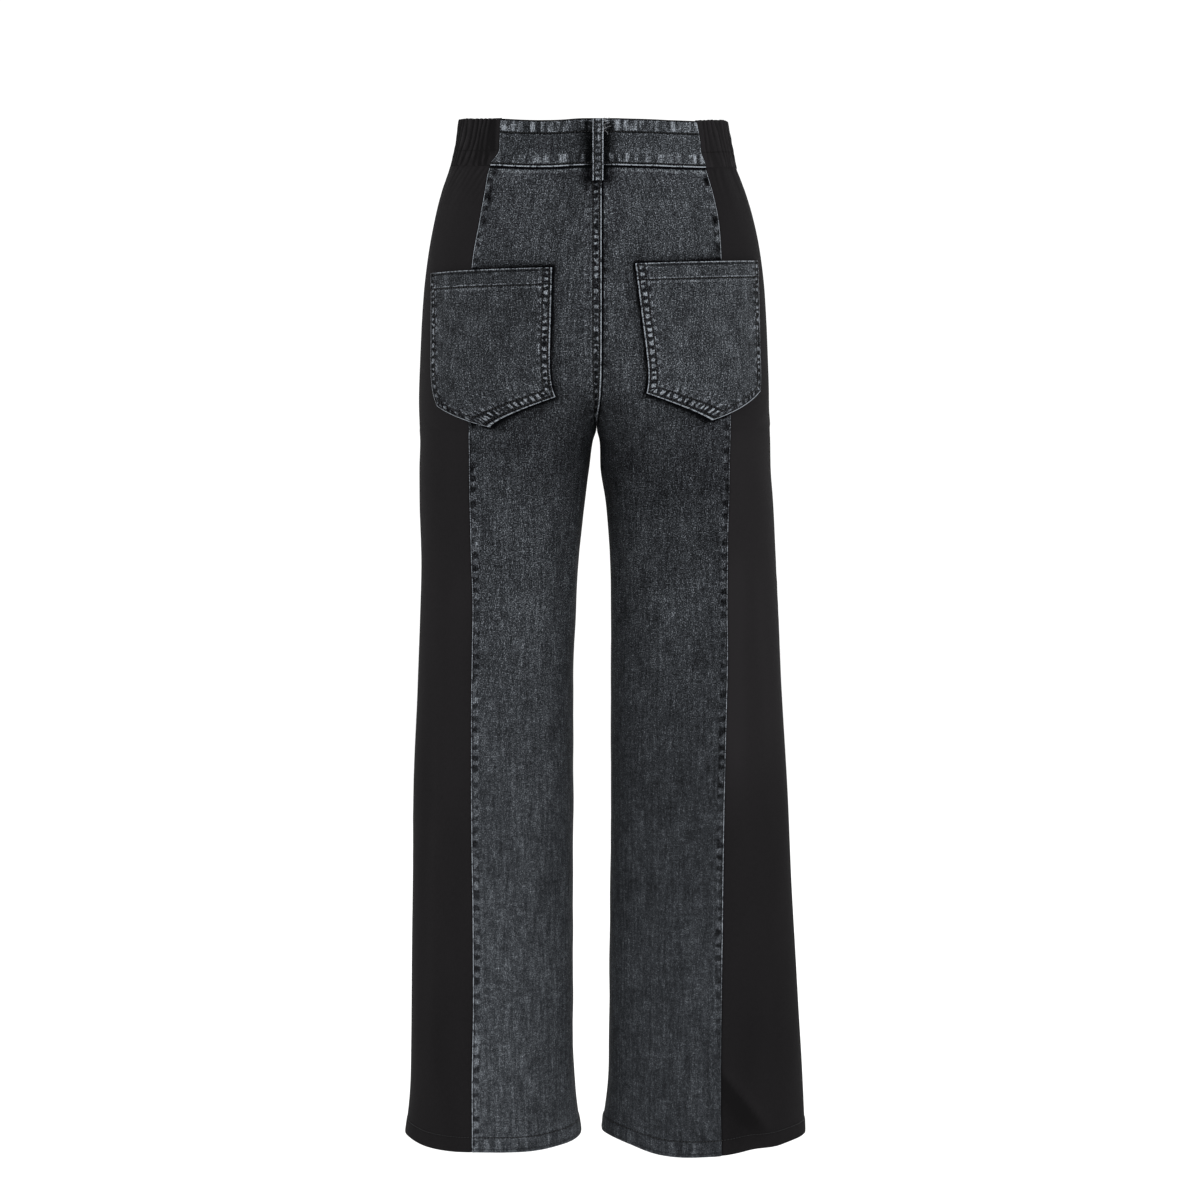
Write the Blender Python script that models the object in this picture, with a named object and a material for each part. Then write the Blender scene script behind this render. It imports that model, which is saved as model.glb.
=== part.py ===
"""Wide-leg patchwork jeans in the shape that they take when worn, as hollow cloth walls.

Metres, +Z up. The front faces -Y and the wearer's left is +X. The origin is the middle of the
waist opening, half way up the waistband.
"""

import math

import bpy
import numpy as np
from mathutils import Vector
from mathutils.bvhtree import BVHTree

MM = 0.001

# Cloth, in metres
DENIM = 1.4 * MM
SIDE_CLOTH = 1.1 * MM
OUTSIDE_SEAM = 0.5  # turn of the seam between the halves of a black side, at its widest place
SIDE_INSET = 0.5 * MM  # the denim's folded edge lies this much proud of the black cloth
BAND_INSIDE = 1.1 * MM  # how far the waistband reaches in from the body line, and out from it
BAND_PROUD = 1.2 * MM
SEAM_GAP = 0.3 * MM

# Heights
BAND_TOP = 23.5 * MM
BAND_FOOT = -22.0 * MM
CROTCH = -278.5 * MM
SEAT_DEPTH = 112.0 * MM  # height over which the seat seam curves under to the crotch
HEM = -996.0 * MM
HEM_HEIGHT = 15.0 * MM
HEM_STEP = 0.7 * MM
HEM_REACH = 130.0 * MM  # the hem's unevenness fades out over this height
WAIST_REACH = 100.0 * MM  # and the waistband's below its foot

# How far the hems hang above their level, in millimetres, by turn round the leg
HEM_COLUMNS = ("turn", "left", "right")
HEM_LINES = (
    (0.00, 0.0, 3.0),
    (0.06, 0.0, 4.8),
    (0.12, 0.2, 2.5),
    (0.18, -0.3, -3.8),
    (0.22, 0.0, -5.3),
    (0.26, 0.3, -3.8),
    (0.32, -0.5, 1.0),
    (0.38, 0.0, 2.8),
    (0.45, 2.2, 3.2),
    (0.52, 1.0, 1.0),
    (0.62, 0.5, 1.5),
    (0.75, 1.5, 0.5),
    (0.88, 0.8, 1.8),
    (1.00, 0.0, 3.0),
)

# How far the waistband stands above its level, in the same columns
WAIST_LINES = (
    (0.00, 0.0, 0.0),
    (0.03, -0.2, 0.0),
    (0.06, -1.2, -0.3),
    (0.09, -1.6, -0.5),
    (0.13, -1.4, -0.8),
    (0.17, -0.6, -1.2),
    (0.22, 0.7, -1.2),
    (0.28, 0.8, -0.8),
    (0.34, 1.8, 0.5),
    (0.39, 2.8, 1.3),
    (0.45, 3.2, 1.8),
    (0.50, 3.2, 1.9),
    (0.60, 2.2, 1.4),
    (0.72, 0.8, 0.5),
    (0.85, 0.0, 0.0),
    (1.00, 0.0, 0.0),
)

# The body line, as half widths and depths in millimetres. Above the crotch both legs meet at x = 0.
FORM_COLUMNS = ("z", "left_out", "right_out", "left_in", "right_in", "back", "front")
FORM = (
    (24.0, 135.0, 129.0, 0.0, 0.0, 89.5, 87.0),
    (0.0, 139.5, 133.5, 0.0, 0.0, 91.5, 89.0),
    (-22.0, 146.0, 140.0, 0.0, 0.0, 95.0, 91.5),
    (-50.0, 156.0, 150.5, 0.0, 0.0, 104.0, 97.0),
    (-90.0, 165.5, 161.0, 0.0, 0.0, 116.0, 105.0),
    (-130.0, 171.5, 167.5, 0.0, 0.0, 124.5, 109.5),
    (-170.0, 175.0, 170.5, 0.0, 0.0, 128.0, 110.5),
    (-210.0, 177.0, 172.0, 0.0, 0.0, 127.0, 109.0),
    (-250.0, 178.0, 173.5, 0.0, 0.0, 121.0, 106.0),
    (-278.5, 177.5, 174.0, 0.0, 0.0, 113.5, 103.0),
    (-290.0, 177.0, 174.5, 3.6, 2.8, 111.0, 102.0),
    (-320.0, 178.0, 175.5, 7.5, 4.0, 106.0, 99.5),
    (-351.0, 178.0, 178.0, 11.5, 9.0, 102.0, 97.5),
    (-411.0, 177.0, 181.0, 18.0, 13.5, 97.0, 95.0),
    (-472.0, 178.5, 184.5, 21.0, 14.5, 94.0, 93.0),
    (-533.0, 181.5, 187.5, 23.5, 14.5, 92.0, 92.0),
    (-656.0, 186.0, 196.0, 23.5, 14.5, 90.0, 90.0),
    (-779.0, 188.5, 203.0, 24.0, 13.5, 90.0, 89.0),
    (-903.0, 190.0, 210.5, 24.0, 12.5, 91.0, 88.0),
    (-955.0, 191.5, 212.5, 21.5, 11.0, 92.0, 88.0),
    (-996.0, 195.5, 214.0, 16.0, 5.5, 93.0, 88.0),
)
HIP_SQUARENESS = 2.3  # exponent of the rounded outline: 2 is an ellipse
LEG_SQUARENESS = 2.2
SEAT_ROUNDING = 0.7  # less makes the seat seam's curve under squarer

# Where the black side panels begin, as distances from the middle seen from behind and from ahead.
SEAM_COLUMNS = ("z", "left_back", "right_back", "left_front", "right_front")
SEAMS = (
    (24.0, 93.0, 97.3, 97.0, 97.0),
    (0.0, 93.9, 101.0, 100.7, 100.7),
    (-9.0, 94.8, 101.8, 102.0, 102.0),
    (-18.0, 101.5, 105.8, 103.4, 103.4),
    (-22.0, 103.2, 106.6, 104.0, 104.0),
    (-27.0, 105.3, 108.0, 105.8, 105.8),
    (-45.0, 108.4, 113.1, 111.0, 111.0),
    (-75.0, 113.8, 118.9, 115.0, 115.0),
    (-115.0, 120.5, 121.8, 118.0, 118.0),
    (-272.0, 124.0, 130.5, 124.0, 124.0),
    (-333.0, 124.0, 129.8, 123.2, 124.0),
    (-406.0, 122.6, 128.6, 122.0, 124.0),
    (-451.0, 121.4, 128.5, 121.7, 124.3),
    (-491.0, 122.2, 129.2, 121.3, 124.7),
    (-544.0, 123.2, 128.4, 121.0, 125.0),
    (-650.0, 123.6, 126.3, 120.8, 125.7),
    (-770.0, 122.5, 124.9, 120.5, 126.5),
    (-850.0, 122.4, 124.2, 120.3, 127.0),
    (-930.0, 123.9, 123.6, 120.1, 127.6),
    (-996.0, 123.8, 124.6, 120.0, 128.0),
)

# Soft folds: which leg, heights of both ends, turn round the leg at both ends (0 is the back middle
# or inseam, 0.5 the outside, 1 the front middle or inseam), half width as a turn, depth in millimetres.
FOLD_COLUMNS = ("side", "z_top", "z_foot", "turn_top", "turn_foot", "width", "depth")
FOLDS = (
    (-1, -925.0, -1030.0, 0.270, 0.345, 0.022, -4.5),
    (-1, -920.0, -1060.0, 0.315, 0.385, 0.028, 3.0),
    (-1, -330.0, -760.0, 0.400, 0.395, 0.032, -2.6),
    (-1, -480.0, -1090.0, 0.520, 0.500, 0.040, -4.0),
    (-1, -300.0, -520.0, 0.055, 0.105, 0.030, -3.0),
    (-1, -640.0, -1060.0, 0.130, 0.110, 0.040, -2.2),
    (-1, -360.0, -640.0, 0.900, 0.830, 0.028, -3.4),
    (-1, -560.0, -700.0, 0.760, 0.680, 0.030, -3.2),
    (-1, -700.0, -1080.0, 0.660, 0.640, 0.038, -3.6),
    (-1, -760.0, -1080.0, 0.860, 0.880, 0.040, -2.6),
    (1, -360.0, -1060.0, 0.385, 0.400, 0.032, -2.8),
    (1, -600.0, -1090.0, 0.560, 0.530, 0.040, -3.8),
    (1, -310.0, -540.0, 0.075, 0.120, 0.032, -2.6),
    (1, -700.0, -1070.0, 0.120, 0.100, 0.042, -2.4),
    (1, -350.0, -660.0, 0.905, 0.840, 0.028, -3.0),
    (1, -540.0, -720.0, 0.745, 0.690, 0.030, -3.4),
    (1, -720.0, -1080.0, 0.670, 0.660, 0.036, -3.4),
    (1, -820.0, -1080.0, 0.850, 0.870, 0.040, -2.8),
)

# Soft pleats that the gathered waist leaves in the top of each side panel
SIDE_PLEATS = 6
PLEAT_DEPTH = 1.3 * MM
PLEAT_REACH = 75.0 * MM

# Gathers of the elastic in each side of the waistband
GATHERS = 22
GATHER_DEPTH = 1.3 * MM
FOOT_TAPER = 9.0 * MM  # the gathered side draws in to the panel below over this height
COLUMNS_IN_A_GATHER = 4

# Raised seams and hems
SEAT_SEAM_LEFT = 5.0 * MM  # width of the felled seat seam on either side of the middle
SEAT_SEAM_RIGHT = 5.0 * MM
SEAT_SEAM_HEIGHT = 0.8 * MM
FLY_WIDTH = 36.0 * MM
FLY_FOOT = -172.0 * MM
FLY_HEIGHT = 0.9 * MM

# Patch pockets: distance from the middle and height of each corner, seen from behind
POCKET_COLUMNS = ("side", "top_inner", "top_outer", "foot_inner", "foot_outer", "tip")
POCKETS = (
    (1, (42.6, -121.4), (161.0, -125.3), (39.8, -245.2), (154.1, -255.4), (102.5, -274.6)),
    (-1, (37.4, -117.6), (156.9, -112.9), (48.5, -241.7), (159.1, -241.4), (111.8, -268.0)),
)
POCKET_CLOTH = 1.3 * MM
POCKET_HEM = 16.0 * MM
POCKET_HEM_STEP = 0.7 * MM
POCKET_MOUTH = 1.2 * MM  # how far the mouth stands away at its middle
MOUTH_REACH = 30.0 * MM
POCKET_COLUMNS_ACROSS = 12

# Belt loops: middle to the wearer's left, on the back (1) or the front (-1), and how far the inner
# face stands off the body line to leave room for a belt, in millimetres
LOOP_COLUMNS = ("name", "middle", "ahead", "stand")
LOOPS = (
    ("belt_loop_back", -1.5, 1, 8.0),
    ("belt_loop_front_left", 42.0, -1, 10.2),
    ("belt_loop_front_right", -42.0, -1, 10.2),
)
LOOP_WIDTH = 10.4 * MM
LOOP_CLOTH = 1.6 * MM
# Height of each bend of a loop, the least that its inner face is off the body line there, in
# millimetres, and its share of the stand
BEND_COLUMNS = ("z", "least", "share")
BENDS = (
    (23.0, 1.6, 0.10),
    (20.5, 2.6, 0.45),
    (18.0, 2.6, 0.80),
    (15.0, 2.6, 1.00),
    (0.0, 2.6, 1.04),
    (-15.0, 2.6, 1.00),
    (-22.0, 2.6, 0.85),
    (-28.0, 1.8, 0.42),
    (-32.5, 1.4, 0.15),
    (-37.0, 1.2, 0.10),
)

# Shank button at the front
BUTTON_FROM_MIDDLE = 14.0 * MM
BUTTON_RADIUS = 8.5 * MM
BUTTON_SIDES = 24
FRONT_OVERLAP = 1.0 * MM  # the left end of the waistband reaches this far past the middle

SECTION_POINTS = 241
HIP_ROWS = 5
SEAT_ROWS = 9
LEG_ROW_HEIGHTS = (-290, -306, -330, -370, -425, -490, -560, -640, -720, -800, -870, -925, -962)
BACK_COLUMNS = 10
SIDE_COLUMNS = 11
FRONT_COLUMNS = 10

# Colours, linear, with roughness
DENIM_LOOK = ((0.042, 0.046, 0.053, 1.0), 0.85)
BLACK_LOOK = ((0.014, 0.013, 0.014, 1.0), 0.80)
METAL_LOOK = ((0.10, 0.10, 0.11, 1.0), 0.35)


def smooth(at, places, values):
    """A smooth curve through the values, read at one or more places. The places fall from first to last."""
    x = -np.asarray(places, float)
    v = np.asarray(values, float)
    q = np.clip(-np.asarray(at, float), x[0], x[-1])
    rise = np.diff(v) / np.diff(x)
    slope = np.concatenate([[rise[0]], (rise[:-1] + rise[1:]) / 2, [rise[-1]]])
    slope[1:-1] = np.where(rise[:-1] * rise[1:] <= 0, 0.0, slope[1:-1])
    i = np.clip(np.searchsorted(x, q, side="right") - 1, 0, len(x) - 2)
    h = x[i + 1] - x[i]
    u = (q - x[i]) / h
    return (
        v[i] * (1 + 2 * u) * (1 - u) ** 2
        + slope[i] * h * u * (1 - u) ** 2
        + v[i + 1] * u**2 * (3 - 2 * u)
        + slope[i + 1] * h * u**2 * (u - 1)
    )


def read(table, columns, column, z):
    """A table's column at height z, in metres."""
    k = columns.index(column)
    return smooth(z / MM, [row[0] for row in table], [row[k] for row in table]) * MM


def power(value, exponent):
    return np.sign(value) * np.abs(value) ** exponent


def seat_share(z):
    """0 where both sides are halves of one round, 1 where each leg is a round of its own."""
    down = np.clip((CROTCH + SEAT_DEPTH - z) / SEAT_DEPTH, 0.0, 1.0)
    return down**2 * (3 - 2 * down) - SEAT_ROUNDING * down**2 * (1 - down)


def round_line(side, z, turn):
    """Plan of the body line at height z without its folds. It is a rounded outline about a centre
    that moves out from the middle as the seat curves under, cut off at the middle."""
    name = "left" if side > 0 else "right"
    out = read(FORM, FORM_COLUMNS, name + "_out", z)
    inside = read(FORM, FORM_COLUMNS, name + "_in", z) if z < CROTCH else 0.0
    back = read(FORM, FORM_COLUMNS, "back", z)
    front = read(FORM, FORM_COLUMNS, "front", z)
    share = seat_share(z)
    squareness = HIP_SQUARENESS + (LEG_SQUARENESS - HIP_SQUARENESS) * share
    centre_x = (out - inside) * share / (1 + share) + inside
    centre_y = share * (back - front) / 2
    first = -math.asin(share ** (squareness / 2))
    angle = first + (math.pi - 2 * first) * turn
    depth = np.where(np.cos(angle) > 0, back - centre_y, front + centre_y)
    x = centre_x + (out - centre_x) * power(np.sin(angle), 2 / squareness)
    return x, centre_y + depth * power(np.cos(angle), 2 / squareness)


def side_panel_turns(side, z):
    """The turns at which the side panel begins at the back and ends at the front."""
    name = "left" if side > 0 else "right"
    half = np.linspace(0.0, 0.5, SECTION_POINTS)
    behind = round_line(side, z, half)[0]
    back = np.interp(read(SEAMS, SEAM_COLUMNS, name + "_back", z), behind, half)
    ahead = round_line(side, z, 1.0 - half)[0]
    return back, 1.0 - np.interp(read(SEAMS, SEAM_COLUMNS, name + "_front", z), ahead, half)


def fold_height(side, z, turn):
    """How far the folds and the pleats under the elastic push the cloth out."""
    total = np.zeros_like(turn)
    for fold in FOLDS:
        row = dict(zip(FOLD_COLUMNS, fold))
        top, foot = row["z_top"] * MM, row["z_foot"] * MM
        if row["side"] != side or not foot < z < top:
            continue
        down = (top - z) / (top - foot)
        centre = row["turn_top"] + (row["turn_foot"] - row["turn_top"]) * down
        across = np.exp(-(((turn - centre) / row["width"]) ** 2))
        total = total + row["depth"] * MM * across * math.sin(math.pi * down) ** 2
    start, end = side_panel_turns(side, z)
    within = np.clip((turn - start) / (end - start), 0.0, 1.0)
    fade = max(0.0, 1 - (BAND_FOOT - z) / PLEAT_REACH) if z < BAND_FOOT else 0.0
    return total - PLEAT_DEPTH * fade**1.5 * np.sin(math.pi * SIDE_PLEATS * within) ** 2


def skin(side, z, turn):
    """Points on the body line, one for each turn, with the folds."""
    x, y = round_line(side, z, turn)
    step = 1e-3
    x_next, y_next = round_line(side, z, np.clip(turn + step, 0, 1))
    x_last, y_last = round_line(side, z, np.clip(turn - step, 0, 1))
    along = np.stack([x_next - x_last, y_next - y_last], axis=-1)
    along /= np.linalg.norm(along, axis=-1, keepdims=True)
    height = fold_height(side, z, turn)
    x = x - along[..., 1] * height
    y = y + along[..., 0] * height
    return np.stack([side * x, y, np.full_like(x, z) + rise(side, z, turn)], axis=-1)


def rise(side, z, turn):
    """How far the unevenness of the hem and of the waist moves the cloth up, fading out between them."""
    turn = -np.asarray(turn)
    k = HEM_COLUMNS.index("left" if side > 0 else "right")
    hem = np.clip(1 - (z - HEM) / HEM_REACH, 0.0, 1.0) ** 2
    waist = np.clip(1 - (BAND_FOOT - z) / WAIST_REACH, 0.0, 1.0)
    waist = waist**2 * (3 - 2 * waist)
    total = 0.0
    for lines, fade in ((HEM_LINES, hem), (WAIST_LINES, waist)):
        total = total + fade * MM * smooth(turn, [-row[0] for row in lines], [row[k] for row in lines])
    return total


def facing(side, z, turn):
    """Outward unit normals of the body line's surface."""
    across = skin(side, z, np.clip(turn + 1e-3, 0, 1)) - skin(side, z, np.clip(turn - 1e-3, 0, 1))
    step = 0.5 * MM
    down = skin(side, max(z - step, HEM), turn) - skin(side, z + step, turn)
    normal = side * np.cross(across, down)
    return normal / np.linalg.norm(normal, axis=-1, keepdims=True)


def turns_by_length(side, z, start, end, shares, inset=SEAM_GAP / 2):
    """Turns spaced along the cloth by these shares of the way from start to end, less the seam gap."""
    fine = np.linspace(start, end, SECTION_POINTS)
    points = skin(side, z, fine)
    length = np.concatenate([[0], np.cumsum(np.linalg.norm(np.diff(points, axis=0), axis=1))])
    wanted = inset + np.asarray(shares) * (length[-1] - 2 * inset)
    return np.interp(wanted, length, fine)


def turn_at(side, z, distance, ahead=1):
    """The turn where the body line is this far from the middle, on the back (1) or the front (-1)."""
    half = np.linspace(0.0, 0.5, SECTION_POINTS)
    turn = half if ahead > 0 else 1.0 - half
    return float(np.interp(distance, round_line(side, z, turn)[0], turn))


def row_heights():
    """Heights of the rings that all the panels share, from the waistband down to the hem."""
    seat_top = CROTCH + SEAT_DEPTH
    hips = np.linspace(BAND_FOOT - SEAM_GAP, seat_top, HIP_ROWS + 1)
    heights = np.linspace(seat_top, CROTCH, 2001)
    squareness = (HIP_SQUARENESS + LEG_SQUARENESS) / 2
    under = read(FORM, FORM_COLUMNS, "back", CROTCH) * (1 - seat_share(heights) ** squareness) ** (1 / squareness)
    along = np.concatenate([[0], np.cumsum(np.hypot(np.diff(heights), np.diff(under)))])
    seat = np.interp(np.linspace(0.0, along[-1], SEAT_ROWS + 1)[1:], along, heights)
    legs = np.array(LEG_ROW_HEIGHTS) * MM
    hem_line = HEM + HEM_HEIGHT
    return np.concatenate([hips, seat, legs, [hem_line + 1.0 * MM, hem_line, HEM]])


def wall(name, outer, inner, look):
    """A closed wall between two grids of points."""
    rows, columns = outer.shape[:2]
    number = np.arange(rows * columns).reshape(rows, columns)
    under = number + rows * columns
    faces = []
    for i in range(rows - 1):
        for j in range(columns - 1):
            a, b = number[i, j], number[i, j + 1]
            c, d = number[i + 1, j + 1], number[i + 1, j]
            for one, two, three in ((a, b, c), (a, c, d)):
                faces.append((one, two, three))
                faces.append((three + rows * columns, two + rows * columns, one + rows * columns))
    rim = [*number[0, :], *number[1:, -1], *number[-1, -2::-1], *number[-2:0:-1, 0]]
    below = [*under[0, :], *under[1:, -1], *under[-1, -2::-1], *under[-2:0:-1, 0]]
    for k in range(len(rim)):
        n = (k + 1) % len(rim)
        faces.append((rim[n], rim[k], below[k]))
        faces.append((rim[n], below[k], below[n]))
    points = np.concatenate([outer.reshape(-1, 3), inner.reshape(-1, 3)])
    mesh = bpy.data.meshes.new(name)
    mesh.from_pydata(points.tolist(), [], [[int(i) for i in face] for face in faces])
    across, down = outer[0, 1] - outer[0, 0], outer[1, 0] - outer[0, 0]
    if np.cross(across, down) @ (outer[0, 0] - inner[0, 0]) < 0:
        mesh.flip_normals()
    mesh.shade_smooth()
    mesh.set_sharp_from_angle(angle=math.radians(40))
    return show(name, mesh, look)


def show(name, mesh, look):
    """Links the mesh as an object with its own material."""
    colour, roughness = look
    material = bpy.data.materials.new(name)
    material.use_nodes = True
    shader = material.node_tree.nodes["Principled BSDF"]
    shader.inputs["Base Color"].default_value = colour
    shader.inputs["Roughness"].default_value = roughness
    shader.inputs["Metallic"].default_value = 1.0 if look is METAL_LOOK else 0.0
    mesh.materials.append(material)
    made = bpy.data.objects.new(name, mesh)
    bpy.context.scene.collection.objects.link(made)
    return made


def hold_apart(side, z, points):
    """Above the crotch no cloth reaches past the middle, so that both sides keep their seam gap."""
    if z >= CROTCH:
        points[:, 0] = side * np.maximum(side * points[:, 0], SEAM_GAP / 2)


def panel(name, side, shares, ends, proud, thickness, look):
    """A panel from waistband to hem. ends(z) gives its first and last turn, and proud(z, turns) how
    far its outside stands off the body line at each point."""
    outer, inner = [], []
    for k, z in enumerate(row_heights()):
        turns = turns_by_length(side, z, *ends(z), shares(z))
        line, normal = skin(side, z, turns), facing(side, z, turns)
        step = HEM_STEP if z <= HEM + HEM_HEIGHT else 0.0
        outer.append(line + normal * (proud(z, turns) + step)[:, None])
        inner.append(line - normal * thickness)
        if k == 0:
            outer[-1][:, 2] = line[:, 2]
            inner[-1][:, 2] = line[:, 2]
        hold_apart(side, z, outer[-1])
        hold_apart(side, z, inner[-1])
    return wall(name, np.array(outer), np.array(inner), look)


def with_ridge(side, z, width, count, start, end):
    """Shares across a panel with two of them at the edge of a ridge that runs beside its first end."""
    points = skin(side, z, np.linspace(start, end, SECTION_POINTS))
    length = np.linalg.norm(np.diff(points, axis=0), axis=1).sum()
    edge = width / length
    rest = np.linspace(edge + 1.2 * MM / length, 1.0, count - 1)
    return np.concatenate([[0.0, edge], rest])


def ridge(side, z, turns, width, height, from_end=False):
    """Height of a ridge of that width beside the first turn, or the last."""
    points = skin(side, z, turns)
    length = np.concatenate([[0], np.cumsum(np.linalg.norm(np.diff(points, axis=0), axis=1))])
    away = length[-1] - length if from_end else length
    return np.where(away <= width + 1e-5, height, 0.0)


def back_panel(side):
    """Denim back leg: from the seat seam and inseam to the side panel."""
    width = SEAT_SEAM_LEFT if side > 0 else SEAT_SEAM_RIGHT

    def ends(z):
        return 0.0, side_panel_turns(side, z)[0]

    def shares(z):
        return with_ridge(side, z, width, BACK_COLUMNS, *ends(z))

    def proud(z, turns):
        return ridge(side, z, turns, width, SEAT_SEAM_HEIGHT if z >= CROTCH else 0.0)

    name = "back_left" if side > 0 else "back_right"
    return panel(name, side, shares, ends, proud, DENIM, DENIM_LOOK)


def front_panel(side):
    """Denim front leg: from the side panel to the front seam and inseam. The left one has the fly."""

    def ends(z):
        return side_panel_turns(side, z)[1], 1.0

    def shares(z):
        return 1.0 - with_ridge(side, z, FLY_WIDTH, FRONT_COLUMNS, 1.0, ends(z)[0])[::-1]

    def proud(z, turns):
        height = FLY_HEIGHT if side > 0 and z > FLY_FOOT else 0.0
        return ridge(side, z, turns, FLY_WIDTH, height, from_end=True)

    name = "front_left" if side > 0 else "front_right"
    panel(name, side, shares, ends, proud, DENIM, DENIM_LOOK)


def side_panel(side, ahead):
    """Half of the black side leg: behind the outside seam, or ahead of it."""

    def ends(z):
        start, end = side_panel_turns(side, z)
        return (OUTSIDE_SEAM, end) if ahead else (start, OUTSIDE_SEAM)

    def shares(z):
        return np.linspace(0.0, 1.0, SIDE_COLUMNS + 1)

    def proud(z, turns):
        return np.full(len(turns), -SIDE_INSET)

    name = ("side_front_" if ahead else "side_back_") + ("left" if side > 0 else "right")
    return panel(name, side, shares, ends, proud, SIDE_CLOTH + SIDE_INSET, BLACK_LOOK)


def band_grid(side, heights, shares, ends, proud):
    """Outer and inner points of a stretch of waistband, upright through its thickness."""
    outer, inner = [], []
    for z in heights:
        turns = turns_by_length(side, z, *ends(z), shares)
        line, normal = skin(side, z, turns), facing(side, z, turns)
        normal[:, 2] = 0.0
        normal /= np.linalg.norm(normal, axis=1, keepdims=True)
        outer.append(line + normal * proud(z, np.asarray(shares))[:, None])
        inner.append(line - normal * BAND_INSIDE)
    return np.array(outer), np.array(inner)


def denim_band_proud(z, shares):
    """The band's faces swell a little between its stitched edges."""
    edge = min(BAND_TOP - z, z - BAND_FOOT)
    return np.full(len(shares), BAND_PROUD + (0.5 * MM if edge > 3 * MM else 0.0))


BAND_HEIGHTS = (BAND_TOP, BAND_TOP - 4 * MM, 0.0, -9 * MM, BAND_FOOT + 4 * MM, BAND_FOOT)


def waistband_back():
    """One denim piece across the back, between the elastic sides."""
    shares = np.linspace(0.0, 1.0, 11)
    halves = []
    for side in (1, -1):
        grid = band_grid(
            side, BAND_HEIGHTS, shares, lambda z, s=side: (0.0, side_panel_turns(s, z)[0]), denim_band_proud
        )
        halves.append(grid)
    joined = []
    for left, right in zip(halves[0], halves[1]):
        left[:, 0, 0] = 0.0
        joined.append(np.concatenate([left[:, ::-1], right[:, 1:]], axis=1))
    wall("waistband_back", joined[0], joined[1], DENIM_LOOK)


def waistband_front(side):
    """Denim piece of the front. The left one lies over the right one's end."""
    shares = np.linspace(0.0, 1.0, 11)
    outer, inner = band_grid(
        side, BAND_HEIGHTS, shares, lambda z: (side_panel_turns(side, z)[1], 1.0), denim_band_proud
    )
    end = FRONT_OVERLAP if side > 0 else FRONT_OVERLAP + SEAM_GAP
    for grid in (outer, inner):
        grid[:, -1, 0] = -end
    if side > 0:
        outer[:, 7:, 1] -= FLY_HEIGHT
    name = "waistband_front_left" if side > 0 else "waistband_front_right"
    wall(name, outer, inner, DENIM_LOOK)


def waistband_side(side):
    """Black cloth gathered by the elastic inside it."""
    columns = GATHERS * COLUMNS_IN_A_GATHER
    heights = (BAND_TOP, 0.0, -9 * MM, BAND_FOOT + 4 * MM, BAND_FOOT)

    def proud(z, shares):
        wave = 0.5 - 0.5 * np.cos(2 * math.pi * GATHERS * shares)
        uneven = 0.75 + 0.25 * np.sin(2.7 * math.pi * GATHERS * shares / 5 + 40 * z / MM / 50)
        full = min(1.0, (z - BAND_FOOT) / FOOT_TAPER)
        return full * (BAND_PROUD - 0.6 * MM) + (0.4 + 0.6 * full) * GATHER_DEPTH * wave * uneven

    outer, inner = band_grid(
        side, heights, np.linspace(0.0, 1.0, columns + 1), lambda z: side_panel_turns(side, z), proud
    )
    name = "waistband_side_left" if side > 0 else "waistband_side_right"
    wall(name, outer, inner, BLACK_LOOK)


def length_to(side, z, distance):
    """Length along the cloth from the back middle to a point this far from it, seen from behind."""
    fine = np.linspace(0.0, turn_at(side, z, distance), SECTION_POINTS)
    points = skin(side, z, fine)
    return float(np.linalg.norm(np.diff(points, axis=0), axis=1).sum())


def on_cloth(side, length, z):
    """Point and normal on the back, that length along the cloth from the back middle."""
    fine = np.linspace(0.0, 0.6, SECTION_POINTS)
    points = skin(side, z, fine)
    run = np.concatenate([[0], np.cumsum(np.linalg.norm(np.diff(points, axis=0), axis=1))])
    turn = np.array([np.interp(length, run, fine)])
    return skin(side, z, turn)[0], facing(side, z, turn)[0]


def tree_of(thing):
    """Search tree over a wall's facets."""
    return BVHTree.FromPolygons([v.co for v in thing.data.vertices], [tuple(p.vertices) for p in thing.data.polygons])


def lift_clear(grid, normals, trees):
    """Moves a grid's points out along their normals until its facets clear the cloth under them."""
    steps = 5
    weights = [(i / steps, j / steps, 1 - (i + j) / steps) for i in range(steps + 1) for j in range(steps + 1 - i)]
    reach = 6 * MM
    for _ in range(4):
        lift = np.zeros(grid.shape[:2])
        for i in range(grid.shape[0] - 1):
            for j in range(grid.shape[1] - 1):
                for corners in (((i, j), (i, j + 1), (i + 1, j + 1)), ((i, j), (i + 1, j + 1), (i + 1, j))):
                    for share in weights:
                        point = Vector(sum(w * grid[c] for w, c in zip(share, corners)))
                        out = Vector(sum(w * normals[c] for w, c in zip(share, corners))).normalized()
                        for tree in trees:
                            distance = tree.ray_cast(point + out * reach, -out, 2 * reach)[3]
                            if distance is not None:
                                need = reach - distance + SEAM_GAP
                                for c in corners:
                                    lift[c] = max(lift[c], need)
        grid += normals * lift[..., None]


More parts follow.
